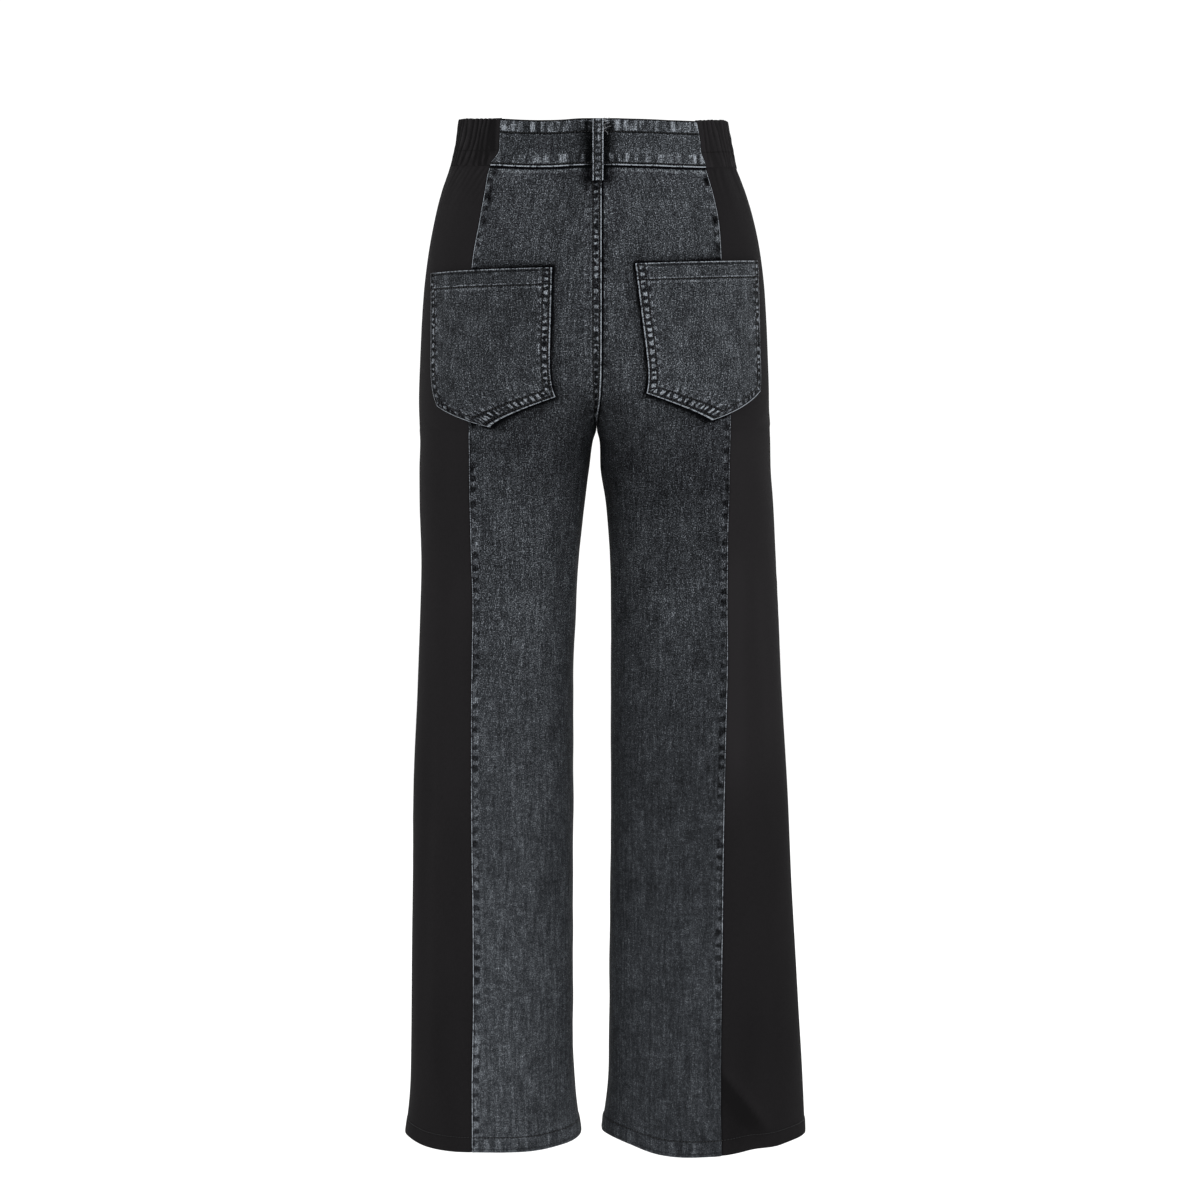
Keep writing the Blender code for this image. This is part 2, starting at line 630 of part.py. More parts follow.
def back_pocket(row, under_it):
    """Five-cornered patch pocket on the denim and the side panel, its hemmed mouth standing a little open."""
    pocket = dict(zip(POCKET_COLUMNS, row))
    side = pocket["side"]
    corner = {}
    for name in POCKET_COLUMNS[1:]:
        distance, z = pocket[name]
        corner[name] = np.array([length_to(side, z * MM, distance * MM), z * MM])
    tip_share = 0.5
    inner, normals, cloths = [], [], []
    downs = (0.0, 0.5, 1.0, 1.06, 2.2, 3.6, 5.0, 6.2, 7.2)  # in hem depths, down to the foot line
    for down in downs + ("foot",):
        inner_row, normal_row = [], []
        for across in np.linspace(0.0, 1.0, POCKET_COLUMNS_ACROSS + 1):
            top = corner["top_inner"] * (1 - across) + corner["top_outer"] * across
            if across <= tip_share:
                foot = corner["foot_inner"] + (corner["tip"] - corner["foot_inner"]) * across / tip_share
            else:
                share = (across - tip_share) / (1 - tip_share)
                foot = corner["tip"] + (corner["foot_outer"] - corner["tip"]) * share
            depth = top[1] - foot[1]
            share = 1.0 if down == "foot" else min(down * POCKET_HEM / depth, 1.0)
            if down != "foot" and down > 1.1:
                share = POCKET_HEM / depth + (1 - POCKET_HEM / depth) * (down - 1) / 7.2
            length, z = top * (1 - share) + foot * share
            point, normal = on_cloth(side, length, z)
            gape = POCKET_MOUTH * math.sin(math.pi * across) * math.exp(-share * depth / MOUTH_REACH)
            inner_row.append(point + normal * (SEAM_GAP + gape))
            normal_row.append(normal)
        inner.append(inner_row)
        normals.append(normal_row)
        cloths.append(POCKET_CLOTH + (POCKET_HEM_STEP if down != "foot" and down <= 1.0 else 0.0))
    inner, normals = np.array(inner), np.array(normals)
    lift_clear(inner, normals, [tree_of(thing) for thing in under_it])
    outer = inner + normals * np.array(cloths)[:, None, None]
    name = "back_pocket_left" if side > 0 else "back_pocket_right"
    wall(name, outer, inner, DENIM_LOOK)


def belt_loop(row):
    """A strip sewn to the band's top edge and below its foot, standing off it between them."""
    loop = dict(zip(LOOP_COLUMNS, row))
    outer, inner = [], []
    for bend in BENDS:
        height, least, share = bend
        off = max(least, share * loop["stand"]) * MM
        outer_row, inner_row = [], []
        for across in (-0.5, -0.17, 0.17, 0.5):
            place = loop["middle"] * MM + across * LOOP_WIDTH
            side = 1 if place >= 0 else -1
            turn = np.array([turn_at(side, height * MM, abs(place), loop["ahead"])])
            point = skin(side, height * MM, turn)[0]
            normal = facing(side, height * MM, turn)[0]
            normal[2] = 0.0
            normal /= np.linalg.norm(normal)
            inner_row.append(point + normal * off)
            outer_row.append(point + normal * (off + LOOP_CLOTH))
        outer.append(outer_row)
        inner.append(inner_row)
    wall(loop["name"], np.array(outer), np.array(inner), DENIM_LOOK)


def waist_button():
    """Domed shank button on the front of the band, turned about the way it faces."""
    turn = np.array([turn_at(1, 0.0, BUTTON_FROM_MIDDLE, -1)])
    seat = skin(1, 0.0, turn)[0]
    off = BAND_PROUD + 0.5 * MM + FLY_HEIGHT + SEAM_GAP
    # radius and distance from the band's face, in millimetres
    profile = ((0.0, 0.0), (3.0, 0.0), (3.0, 1.6), (7.6, 1.6), (8.5, 2.2), (8.5, 3.0), (7.4, 3.6), (6.4, 3.3), (0.0, 4.0))
    mesh = bpy.data.meshes.new("waist_button")
    points, faces = [], []
    for radius, height in profile[1:-1]:
        for k in range(BUTTON_SIDES):
            angle = 2 * math.pi * k / BUTTON_SIDES
            points.append((radius * MM * math.cos(angle), -height * MM, radius * MM * math.sin(angle)))
    for i in range(len(profile) - 3):
        for k in range(BUTTON_SIDES):
            n = (k + 1) % BUTTON_SIDES
            a, b = i * BUTTON_SIDES + k, i * BUTTON_SIDES + n
            faces.append((a, b, b + BUTTON_SIDES, a + BUTTON_SIDES))
    points += [(0.0, 0.0, 0.0), (0.0, -profile[-1][1] * MM, 0.0)]
    base, top = len(points) - 2, len(points) - 1
    last = (len(profile) - 3) * BUTTON_SIDES
    for k in range(BUTTON_SIDES):
        n = (k + 1) % BUTTON_SIDES
        faces.append((base, n, k))
        faces.append((top, last + k, last + n))
    mesh.from_pydata(points, [], faces)
    if mesh.polygons[0].normal.dot(mesh.polygons[0].center) < 0:
        mesh.flip_normals()
    mesh.shade_smooth()
    mesh.set_sharp_from_angle(angle=math.radians(35))
    made = show("waist_button", mesh, METAL_LOOK)
    made.location = (seat[0], seat[1] - off, 0.0)


def clear_scene():
    for thing in list(bpy.data.objects):
        bpy.data.objects.remove(thing)


def main():
    clear_scene()
    panels = {}
    for side in (1, -1):
        panels[side] = (back_panel(side), side_panel(side, ahead=False))
        side_panel(side, ahead=True)
        front_panel(side)
        waistband_side(side)
        waistband_front(side)
    waistband_back()
    for row in POCKETS:
        back_pocket(row, panels[row[0]])
    for row in LOOPS:
        belt_loop(row)
    waist_button()


main()
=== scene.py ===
"""Sews a pair of worn wide-leg jeans from washed denim and black twill."""

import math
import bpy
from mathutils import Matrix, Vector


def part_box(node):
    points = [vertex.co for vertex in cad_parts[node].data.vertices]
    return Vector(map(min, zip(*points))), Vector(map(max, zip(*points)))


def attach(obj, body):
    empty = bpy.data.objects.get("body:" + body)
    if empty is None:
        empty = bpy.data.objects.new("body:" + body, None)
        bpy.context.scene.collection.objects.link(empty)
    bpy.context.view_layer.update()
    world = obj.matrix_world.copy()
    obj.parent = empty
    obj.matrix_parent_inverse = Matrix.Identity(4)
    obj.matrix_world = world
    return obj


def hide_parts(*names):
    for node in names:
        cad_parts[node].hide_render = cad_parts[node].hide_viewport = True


bl_info = {
    "name": "Wide-Leg Jeans",
    "version": (1, 0, 0),
    "blender": (4, 5, 0),
    "location": "3D View > Sidebar > Jeans",
    "description": "Sews a pair of worn wide-leg jeans from washed denim and black twill",
    "category": "Add Mesh",
}

from functools import reduce

import bpy
import numpy as np
from bpy.props import FloatProperty, FloatVectorProperty, IntProperty, PointerProperty
from mathutils import Vector
from mathutils.bvhtree import BVHTree

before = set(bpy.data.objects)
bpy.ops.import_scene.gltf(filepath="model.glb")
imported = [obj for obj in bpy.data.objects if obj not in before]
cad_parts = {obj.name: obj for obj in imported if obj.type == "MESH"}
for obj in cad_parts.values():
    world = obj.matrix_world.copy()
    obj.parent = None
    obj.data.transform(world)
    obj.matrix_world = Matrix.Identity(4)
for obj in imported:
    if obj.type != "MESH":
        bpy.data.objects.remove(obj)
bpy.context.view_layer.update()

MM = 0.001
SIDES = (1, -1)  # left and right, as the wearer has them

# Body line

BAND_TOP = 23.5 * MM
BAND_FOOT = -22.0 * MM
CROTCH = -278.5 * MM
SEAT_DEPTH = 112.0 * MM
HEM = -996.0 * MM
HEM_HEIGHT = 15.0 * MM
HEM_REACH = 130.0 * MM  # the hem's unevenness fades out over this height
WAIST_REACH = 100.0 * MM  # and the waist's over this one
FOOT_TAPER = 9.0 * MM
HIP_SQUARENESS = 2.3
LEG_SQUARENESS = 2.2
SEAT_ROUNDING = 0.7

# Half widths and depths in millimetres
FORM_COLUMNS = ("z", "left_out", "right_out", "left_in", "right_in", "back", "front")
FORM = (
    (24.0, 135.0, 129.0, 0.0, 0.0, 89.5, 87.0),
    (0.0, 139.5, 133.5, 0.0, 0.0, 91.5, 89.0),
    (-22.0, 146.0, 140.0, 0.0, 0.0, 95.0, 91.5),
    (-50.0, 156.0, 150.5, 0.0, 0.0, 104.0, 97.0),
    (-90.0, 165.5, 161.0, 0.0, 0.0, 116.0, 105.0),
    (-130.0, 171.5, 167.5, 0.0, 0.0, 124.5, 109.5),
    (-170.0, 175.0, 170.5, 0.0, 0.0, 128.0, 110.5),
    (-210.0, 177.0, 172.0, 0.0, 0.0, 127.0, 109.0),
    (-250.0, 178.0, 173.5, 0.0, 0.0, 121.0, 106.0),
    (-278.5, 177.5, 174.0, 0.0, 0.0, 113.5, 103.0),
    (-290.0, 177.0, 174.5, 3.6, 2.8, 111.0, 102.0),
    (-320.0, 178.0, 175.5, 7.5, 4.0, 106.0, 99.5),
    (-351.0, 178.0, 178.0, 11.5, 9.0, 102.0, 97.5),
    (-411.0, 177.0, 181.0, 18.0, 13.5, 97.0, 95.0),
    (-472.0, 178.5, 184.5, 21.0, 14.5, 94.0, 93.0),
    (-533.0, 181.5, 187.5, 23.5, 14.5, 92.0, 92.0),
    (-656.0, 186.0, 196.0, 23.5, 14.5, 90.0, 90.0),
    (-779.0, 188.5, 203.0, 24.0, 13.5, 90.0, 89.0),
    (-903.0, 190.0, 210.5, 24.0, 12.5, 91.0, 88.0),
    (-955.0, 191.5, 212.5, 21.5, 11.0, 92.0, 88.0),
    (-996.0, 195.5, 214.0, 16.0, 5.5, 93.0, 88.0),
)

# Where the black side panels begin, as distances from the middle
SEAM_COLUMNS = ("z", "left_back", "right_back", "left_front", "right_front")
SEAMS = (
    (24.0, 93.0, 97.3, 97.0, 97.0),
    (0.0, 93.9, 101.0, 100.7, 100.7),
    (-9.0, 94.8, 101.8, 102.0, 102.0),
    (-18.0, 101.5, 105.8, 103.4, 103.4),
    (-22.0, 103.2, 106.6, 104.0, 104.0),
    (-27.0, 105.3, 108.0, 105.8, 105.8),
    (-45.0, 108.4, 113.1, 111.0, 111.0),
    (-75.0, 113.8, 118.9, 115.0, 115.0),
    (-115.0, 120.5, 121.8, 118.0, 118.0),
    (-272.0, 124.0, 130.5, 124.0, 124.0),
    (-333.0, 124.0, 129.8, 123.2, 124.0),
    (-406.0, 122.6, 128.6, 122.0, 124.0),
    (-451.0, 121.4, 128.5, 121.7, 124.3),
    (-491.0, 122.2, 129.2, 121.3, 124.7),
    (-544.0, 123.2, 128.4, 121.0, 125.0),
    (-650.0, 123.6, 126.3, 120.8, 125.7),
    (-770.0, 122.5, 124.9, 120.5, 126.5),
    (-850.0, 122.4, 124.2, 120.3, 127.0),
    (-930.0, 123.9, 123.6, 120.1, 127.6),
    (-996.0, 123.8, 124.6, 120.0, 128.0),
)

# How far the hems hang above their level, in millimetres, by turn round the leg
HEM_COLUMNS = ("turn", "left", "right")
HEM_LINES = (
    (0.00, 0.0, 3.0),
    (0.06, 0.0, 4.8),
    (0.12, 0.2, 2.5),
    (0.18, -0.3, -3.8),
    (0.22, 0.0, -5.3),
    (0.26, 0.3, -3.8),
    (0.32, -0.5, 1.0),
    (0.38, 0.0, 2.8),
    (0.45, 2.2, 3.2),
    (0.52, 1.0, 1.0),
    (0.62, 0.5, 1.5),
    (0.75, 1.5, 0.5),
    (0.88, 0.8, 1.8),
    (1.00, 0.0, 3.0),
)

# How far the waistband stands above its level, in the same columns
WAIST_LINES = (
    (0.00, 0.0, 0.0),
    (0.03, -0.2, 0.0),
    (0.06, -1.2, -0.3),
    (0.09, -1.6, -0.5),
    (0.13, -1.4, -0.8),
    (0.17, -0.6, -1.2),
    (0.22, 0.7, -1.2),
    (0.28, 0.8, -0.8),
    (0.34, 1.8, 0.5),
    (0.39, 2.8, 1.3),
    (0.45, 3.2, 1.8),
    (0.50, 3.2, 1.9),
    (0.60, 2.2, 1.4),
    (0.72, 0.8, 0.5),
    (0.85, 0.0, 0.0),
    (1.00, 0.0, 0.0),
)

# Soft folds: leg, heights of both ends, turn round the leg at both ends, half width as a turn, depth
FOLD_COLUMNS = ("side", "z_top", "z_foot", "turn_top", "turn_foot", "width", "depth")
FOLDS = (
    (-1, -925.0, -1030.0, 0.270, 0.345, 0.022, -4.5),
    (-1, -920.0, -1060.0, 0.315, 0.385, 0.028, 3.0),
    (-1, -330.0, -760.0, 0.400, 0.395, 0.032, -2.6),
    (-1, -480.0, -1090.0, 0.520, 0.500, 0.040, -4.0),
    (-1, -300.0, -520.0, 0.055, 0.105, 0.030, -3.0),
    (-1, -640.0, -1060.0, 0.130, 0.110, 0.040, -2.2),
    (-1, -360.0, -640.0, 0.900, 0.830, 0.028, -3.4),
    (-1, -560.0, -700.0, 0.760, 0.680, 0.030, -3.2),
    (-1, -700.0, -1080.0, 0.660, 0.640, 0.038, -3.6),
    (-1, -760.0, -1080.0, 0.860, 0.880, 0.040, -2.6),
    (1, -360.0, -1060.0, 0.385, 0.400, 0.032, -2.8),
    (1, -600.0, -1090.0, 0.560, 0.530, 0.040, -3.8),
    (1, -310.0, -540.0, 0.075, 0.120, 0.032, -2.6),
    (1, -700.0, -1070.0, 0.120, 0.100, 0.042, -2.4),
    (1, -350.0, -660.0, 0.905, 0.840, 0.028, -3.0),
    (1, -540.0, -720.0, 0.745, 0.690, 0.030, -3.4),
    (1, -720.0, -1080.0, 0.670, 0.660, 0.036, -3.4),
    (1, -820.0, -1080.0, 0.850, 0.870, 0.040, -2.8),
)
SIDE_PLEATS = 6
PLEAT_DEPTH = 1.3 * MM
PLEAT_REACH = 75.0 * MM
GATHERS = 22

# Dark places that the wash left on the seam allowances below the waistband
BLOT_COLUMNS = ("side", "from_side", "z", "half")
SEAM_BLOTS = (
    (1, 7.5, -28.0, 3.2),
    (1, 7.0, -46.0, 4.0),
    (1, 7.5, -56.0, 3.0),
    (1, 6.0, -78.0, 2.6),
    (-1, 3.4, -34.0, 4.2),
    (-1, 5.0, -76.0, 3.2),
    (-1, 4.2, -103.0, 2.6),
)

# Patch pockets: distance from the middle and height of each corner
POCKET_COLUMNS = ("side", "top_inner", "top_outer", "foot_inner", "foot_outer", "tip")
POCKETS = (
    (1, (42.6, -121.4), (161.0, -125.3), (39.8, -245.2), (154.1, -255.4), (102.5, -274.6)),
    (-1, (37.4, -117.6), (156.9, -112.9), (48.5, -241.7), (159.1, -241.4), (111.8, -268.0)),
)
POCKET_HEM = 16.0 * MM

# Belt loops: place across, the way that they face and how far they stand off
LOOP_COLUMNS = ("name", "middle", "way", "stand")
LOOPS = (
    ("belt_loop_back", -1.5, "back", 8.0),
    ("belt_loop_front_left", 42.0, "front", 10.2),
    ("belt_loop_front_right", -42.0, "front", 10.2),
)
LOOP_WIDTH = 10.4 * MM
LOOP_ROW = 3.2  # millimetres from a loop's middle to its rows of stitches
# How far a loop stands off at each height: at least so far, or a share of its stand
BEND_COLUMNS = ("z", "least", "share")
BENDS = (
    (23.0, 1.6, 0.10),
    (20.5, 2.6, 0.45),
    (18.0, 2.6, 0.80),
    (15.0, 2.6, 1.00),
    (0.0, 2.6, 1.04),
    (-15.0, 2.6, 1.00),
    (-22.0, 2.6, 0.85),
    (-28.0, 1.8, 0.42),
    (-32.5, 1.4, 0.15),
    (-37.0, 1.2, 0.10),
)

FLY_WIDTH = 36.0 * MM
FLY_FOOT = -172.0 * MM
FLY_CURVE = 34.0 * MM
SEAT_FELL = 5.0 * MM  # the felled seat seam's width on either side of the middle

# Pale creases of the wash at the front hips, in millimetres
WHISKER_COLUMNS = ("z", "slope", "strength")
WHISKERS = (
    (-205.0, 0.22, 0.16),
    (-232.0, 0.16, 0.13),
    (-258.0, 0.05, 0.12),
    (-286.0, -0.10, 0.08),
)

# Rows of stitches, from the edge that each one follows
POCKET_ROWS = (2.2 * MM, 8.3 * MM)
FLY_ROWS = (0.0, 6.0 * MM)
FRONT_SEAM_ROWS = (2.0 * MM, 8.0 * MM)
SEAT_ROWS = (-SEAT_FELL + 2.2 * MM, SEAT_FELL - 1.7 * MM)
BAND_ROWS = (BAND_TOP - 13.0 * MM, BAND_FOOT + 2.4 * MM)

# The shank button
CAP_RADIUS = 8.5 * MM
CAP_DEPTH = 2.2 * MM
SHANK_RADIUS = 3.0 * MM
SHANK_DEPTH = 2.4 * MM

# Studio
PICTURE_WIDTH = 1200.0
FOCUS = 3080.0  # in widths of a picture's point
SENSOR = 36.0
FLOOR_RADIUS = 9.0
SKY_STRENGTH = 1.1
LIGHT_AIM = Vector((0.0, 0.0, -0.45))
LIGHTS = (
    ("key_light", (1.6, 3.4, 1.6), 1.8, 45.0),
    ("fill_light", (-2.2, 3.0, 0.6), 2.0, 26.0),
    ("front_light", (-1.2, -3.4, 1.8), 2.4, 40.0),
)

# Grid on which the body line is kept
LEVELS = np.linspace(BAND_TOP, HEM, 409)
RING_POINTS = 521
ARC_STEP = 1.5 * MM
ARC_REACH = 620.0 * MM
ARC_BEFORE = 8  # steps kept before the middle


class JeansCloth(bpy.types.PropertyGroup):
    """Colours of the cloths and what the wash did to them"""

    denim_dark: FloatVectorProperty(
        name="Denim shadow",
        description="Darkest yarns of the denim",
        subtype="COLOR",
        default=(0.0016, 0.0018, 0.0021),
    )
    denim_mid: FloatVectorProperty(
        name="Denim",
        description="Main colour of the washed denim",
        subtype="COLOR",
        default=(0.0160, 0.0178, 0.0208),
    )
    denim_light: FloatVectorProperty(
        name="Denim wear",
        description="Denim rubbed pale by the wash",
        subtype="COLOR",
        default=(0.27, 0.295, 0.325),
    )
    twill: FloatVectorProperty(
        name="Black twill",
        description="Colour of the side panels",
        subtype="COLOR",
        default=(0.0085, 0.0079, 0.0085),
    )
    wash: FloatProperty(
        name="Wash contrast",
        description="How far pale and dark yarns differ",
        default=1.0,
        min=0.0,
        max=3.0,
    )
    denim_thickness: FloatProperty(
        name="Denim thickness",
        description="Thickness of one layer",
        subtype="DISTANCE",
        default=1.3 * MM,
    )
    twill_thickness: FloatProperty(
        name="Twill thickness",
        description="Thickness of one layer",
        subtype="DISTANCE",
        default=1.0 * MM,
    )


class JeansSewing(bpy.types.PropertyGroup):
    """Thread and how it is sewn"""

    thread: FloatVectorProperty(
        name="Thread",
        description="Colour of the topstitching",
        subtype="COLOR",
        default=(0.010, 0.010, 0.011),
    )
    stitch_pitch: FloatProperty(
        name="Stitch pitch",
        description="Length of a stitch with its gap",
        subtype="DISTANCE",
        default=3.1 * MM,
    )
    stitch_length: FloatProperty(
        name="Stitch length",
        description="Thread that shows in a stitch",
        subtype="DISTANCE",
        default=2.5 * MM,
    )
    thread_width: FloatProperty(
        name="Thread width", description="Width of the thread", subtype="DISTANCE", default=0.62 * MM
    )
    frays: IntProperty(
        name="Frays",
        description="Loose yarns at the top of the back belt loop",
        default=16,
        min=0,
    )


class JeansStage(bpy.types.PropertyGroup):
    """Studio around the jeans"""

    camera_distance: FloatProperty(
        name="Camera distance", description="From the jeans' middle", subtype="DISTANCE", default=3.10
    )
    camera_height: FloatProperty(
        name="Camera height",
        description="Above the waistband's middle",
        subtype="DISTANCE",
        default=-0.2004,
    )
    camera_tilt: FloatProperty(
        name="Camera tilt", description="Downwards", subtype="ANGLE", default=math.atan(250 / FOCUS)
    )
    floor_height: FloatProperty(
        name="Floor height",
        description="Below the hems",
        subtype="DISTANCE",
        default=-1.36,
    )
    floor_colour: FloatVectorProperty(
        name="Floor", description="Colour of the floor", subtype="COLOR", default=(0.93, 0.93, 0.93)
    )


# Shape of the body line


def smooth(at, places, values):
    """A smooth curve through the values, read at one or more places. The places fall from first to last."""
    x = -np.asarray(places, float)
    v = np.asarray(values, float)
    q = np.clip(-np.asarray(at, float), x[0], x[-1])
    rise = np.diff(v) / np.diff(x)
    slope = np.concatenate([[rise[0]], (rise[:-1] + rise[1:]) / 2, [rise[-1]]])
    slope[1:-1] = np.where(rise[:-1] * rise[1:] <= 0, 0.0, slope[1:-1])
    i = np.clip(np.searchsorted(x, q, side="right") - 1, 0, len(x) - 2)
    h = x[i + 1] - x[i]
    u = (q - x[i]) / h
    return (
        v[i] * (1 + 2 * u) * (1 - u) ** 2
        + slope[i] * h * u * (1 - u) ** 2
        + v[i + 1] * u**2 * (3 - 2 * u)
        + slope[i + 1] * h * u**2 * (u - 1)
    )


def read(table, columns, column, z):
    """A table's column at height z, in metres."""
    k = columns.index(column)
    return smooth(z / MM, [row[0] for row in table], [row[k] for row in table]) * MM


def side_name(side):
    """left for 1 and right for -1, as the wearer has them."""
    return "left" if side > 0 else "right"


def power(value, exponent):
    """A power that keeps the sign."""
    return np.sign(value) * np.abs(value) ** exponent


def ease(value, low, high):
    """0 below low, 1 above high, and a soft rise between."""
    t = np.clip((np.asarray(value, float) - low) / (high - low), 0.0, 1.0)
    return t * t * (3 - 2 * t)


def fall(value, low, high):
    """1 below low, 0 above high, and a soft fall between."""
    return 1 - ease(value, low, high)


def stretch(value, low, full, past, high):
    """1 from full to past, 0 outside low to high, and soft between."""
    return ease(value, low, full) * fall(value, past, high)


def bell(value, width):
    """1 at 0, and down softly to a third at the width."""
    return np.exp(-((value / width) ** 2))


def ripple(x, y, seed, waves=22):
    """Soft even noise of about -1 to 1, whose swells are about one unit apart."""
    draw = np.random.default_rng(seed)
    total = np.zeros(np.broadcast(x, y).shape)
    for _ in range(waves):
        angle = draw.uniform(0, 2 * math.pi)
        pitch = 2 * math.pi * draw.uniform(0.55, 1.25)
        total += np.cos(pitch * (math.cos(angle) * x + math.sin(angle) * y) + draw.uniform(0, 2 * math.pi))
    return total / math.sqrt(waves) * 0.9


def seat_share(z):
    """0 where both sides are halves of one round, 1 where each leg is a round of its own."""
    down = np.clip((CROTCH + SEAT_DEPTH - z) / SEAT_DEPTH, 0.0, 1.0)
    return down**2 * (3 - 2 * down) - SEAT_ROUNDING * down**2 * (1 - down)


def round_line(side, z, turn):
    """Plan of the body line at height z without its folds."""
    name = side_name(side)
    out = read(FORM, FORM_COLUMNS, name + "_out", z)
    inside = read(FORM, FORM_COLUMNS, name + "_in", z) if z < CROTCH else 0.0
    back = read(FORM, FORM_COLUMNS, "back", z)
    front = read(FORM, FORM_COLUMNS, "front", z)
    share = seat_share(z)
    squareness = HIP_SQUARENESS + (LEG_SQUARENESS - HIP_SQUARENESS) * share
    centre_x = (out - inside) * share / (1 + share) + inside
    centre_y = share * (back - front) / 2
    first = -math.asin(share ** (squareness / 2))
    angle = first + (math.pi - 2 * first) * turn
    depth = np.where(np.cos(angle) > 0, back - centre_y, front + centre_y)
    x = centre_x + (out - centre_x) * power(np.sin(angle), 2 / squareness)
    return x, centre_y + depth * power(np.cos(angle), 2 / squareness)


def side_panel_turns(side, z):
    """The turns at which the side panel begins at the back and ends at the front."""
    name = side_name(side)
    half = np.linspace(0.0, 0.5, 241)
    back = np.interp(read(SEAMS, SEAM_COLUMNS, name + "_back", z), round_line(side, z, half)[0], half)
    ahead = round_line(side, z, 1.0 - half)[0]
    return back, 1.0 - np.interp(read(SEAMS, SEAM_COLUMNS, name + "_front", z), ahead, half)


def fold_height(side, z, turn, seams):
    """How far the folds and the pleats under the elastic push the cloth out."""
    total = np.zeros_like(turn)
    for fold in FOLDS:
        row = dict(zip(FOLD_COLUMNS, fold))
        top, foot = row["z_top"] * MM, row["z_foot"] * MM
        if row["side"] != side or not foot < z < top:
            continue
        down = (top - z) / (top - foot)
        centre = row["turn_top"] + (row["turn_foot"] - row["turn_top"]) * down
        across = bell(turn - centre, row["width"])
        total = total + row["depth"] * MM * across * math.sin(math.pi * down) ** 2
    within = np.clip((turn - seams[0]) / (seams[1] - seams[0]), 0.0, 1.0)
    fade = max(0.0, 1 - (BAND_FOOT - z) / PLEAT_REACH) if z < BAND_FOOT else 0.0
    return total - PLEAT_DEPTH * fade**1.5 * np.sin(math.pi * SIDE_PLEATS * within) ** 2


def rise(side, z, turn):
    """How far the unevenness of the hem and of the waist moves the cloth up, fading out between them."""
    k = HEM_COLUMNS.index(side_name(side))
    hem = np.clip(1 - (z - HEM) / HEM_REACH, 0.0, 1.0) ** 2
    waist = fall(BAND_FOOT - z, 0.0, WAIST_REACH)
    total = 0.0
    for lines, fade in ((HEM_LINES, hem), (WAIST_LINES, waist)):
        total = total + fade * MM * smooth(-turn, [-row[0] for row in lines], [row[k] for row in lines])
    return total


def body_ring(side, z, turn):
    """One level of the body line with its folds, and the turns of its seams."""
    seams = side_panel_turns(side, z)
    x, y = round_line(side, z, turn)
    along = np.stack([np.gradient(x), np.gradient(y)])
    along /= np.maximum(np.linalg.norm(along, axis=0), 1e-12)
    height = fold_height(side, z, turn, seams)
    x, y = x - along[1] * height, y + along[0] * height
    return np.stack([side * x, y, z + rise(side, z, turn)], axis=-1), seams


def along(places, run, path):
    """Points of a path at these lengths, where run is the length up to each of its points."""
    return np.stack([np.interp(places, run, path[:, k]) for k in range(3)], axis=-1)


def run_of(path):
    """The length of a path up to each of its points."""
    return np.concatenate([[0], np.cumsum(np.linalg.norm(np.diff(path, axis=0), axis=1))])


def unit(vectors):
    """Vectors made one long."""
    return vectors / np.maximum(np.linalg.norm(vectors, axis=-1, keepdims=True), 1e-12)


class Chart:
    """The body line of one side as points by level and by length along the cloth, from the back middle
    (or the inseam, on the legs) or back from the front one."""

    def __init__(self, side):
        self.side = side
        turn = np.linspace(0.0, 1.0, RING_POINTS)
        self.start = -ARC_BEFORE * ARC_STEP
        arcs = np.arange(-ARC_BEFORE, int(ARC_REACH / ARC_STEP)) * ARC_STEP
        self.points = {"back": [], "front": []}
        self.total, self.back_seam, self.front_seam, self.outside = [], [], [], []
        for z in LEVELS:
            ring, seams = body_ring(side, z, turn)
            run = run_of(ring)
            self.total.append(run[-1])
            self.outside.append(np.interp(0.5, turn, run))
            self.back_seam.append(np.interp(seams[0], turn, run))
            self.front_seam.append(run[-1] - np.interp(seams[1], turn, run))
            for way, places in (("back", arcs), ("front", run[-1] - arcs)):
                self.points[way].append(along(places, run, ring))
        self.points = {way: np.array(rows) for way, rows in self.points.items()}
        self.total, self.back_seam = np.array(self.total), np.array(self.back_seam)
        self.front_seam, self.outside = np.array(self.front_seam), np.array(self.outside)

    def join(self, other):
        """Carries the points on past the middle, over those of the other side, and works out the normals."""
        above = LEVELS > CROTCH
        self.normals = {}
        for way, points in self.points.items():
            for k in range(ARC_BEFORE):
                points[above, k] = other[way][above, 2 * ARC_BEFORE - k]
            across, down = np.gradient(points, axis=1), np.gradient(points, axis=0)
            self.normals[way] = unit(np.cross(across, down) * self.side * (1 if way == "back" else -1))

    def at(self, z, arc, way="back"):
        """Points and outward normals at these levels and lengths."""
        z, arc = np.broadcast_arrays(np.asarray(z, float), np.asarray(arc, float))
        row = np.clip((LEVELS[0] - z) / (LEVELS[0] - LEVELS[-1]) * (len(LEVELS) - 1), 0, len(LEVELS) - 1.001)
        table = self.points[way]
        column = np.clip((arc - self.start) / ARC_STEP, 0, table.shape[1] - 1.001)
        i, j = row.astype(int), column.astype(int)
        u, v = (row - i)[..., None], (column - j)[..., None]
        out = []
        for grid in (table, self.normals[way]):
            top = grid[i, j] * (1 - v) + grid[i, j + 1] * v
            foot = grid[i + 1, j] * (1 - v) + grid[i + 1, j + 1] * v
            out.append(top * (1 - u) + foot * u)
        points, normals = out
        points[..., 2] += z - np.clip(z, LEVELS[-1], LEVELS[0])
        return points, unit(normals)

    def level(self, values, z):
        """A value kept by level, read at height z."""
        return np.interp(-np.asarray(z, float), -LEVELS, values)


CHARTS = {}


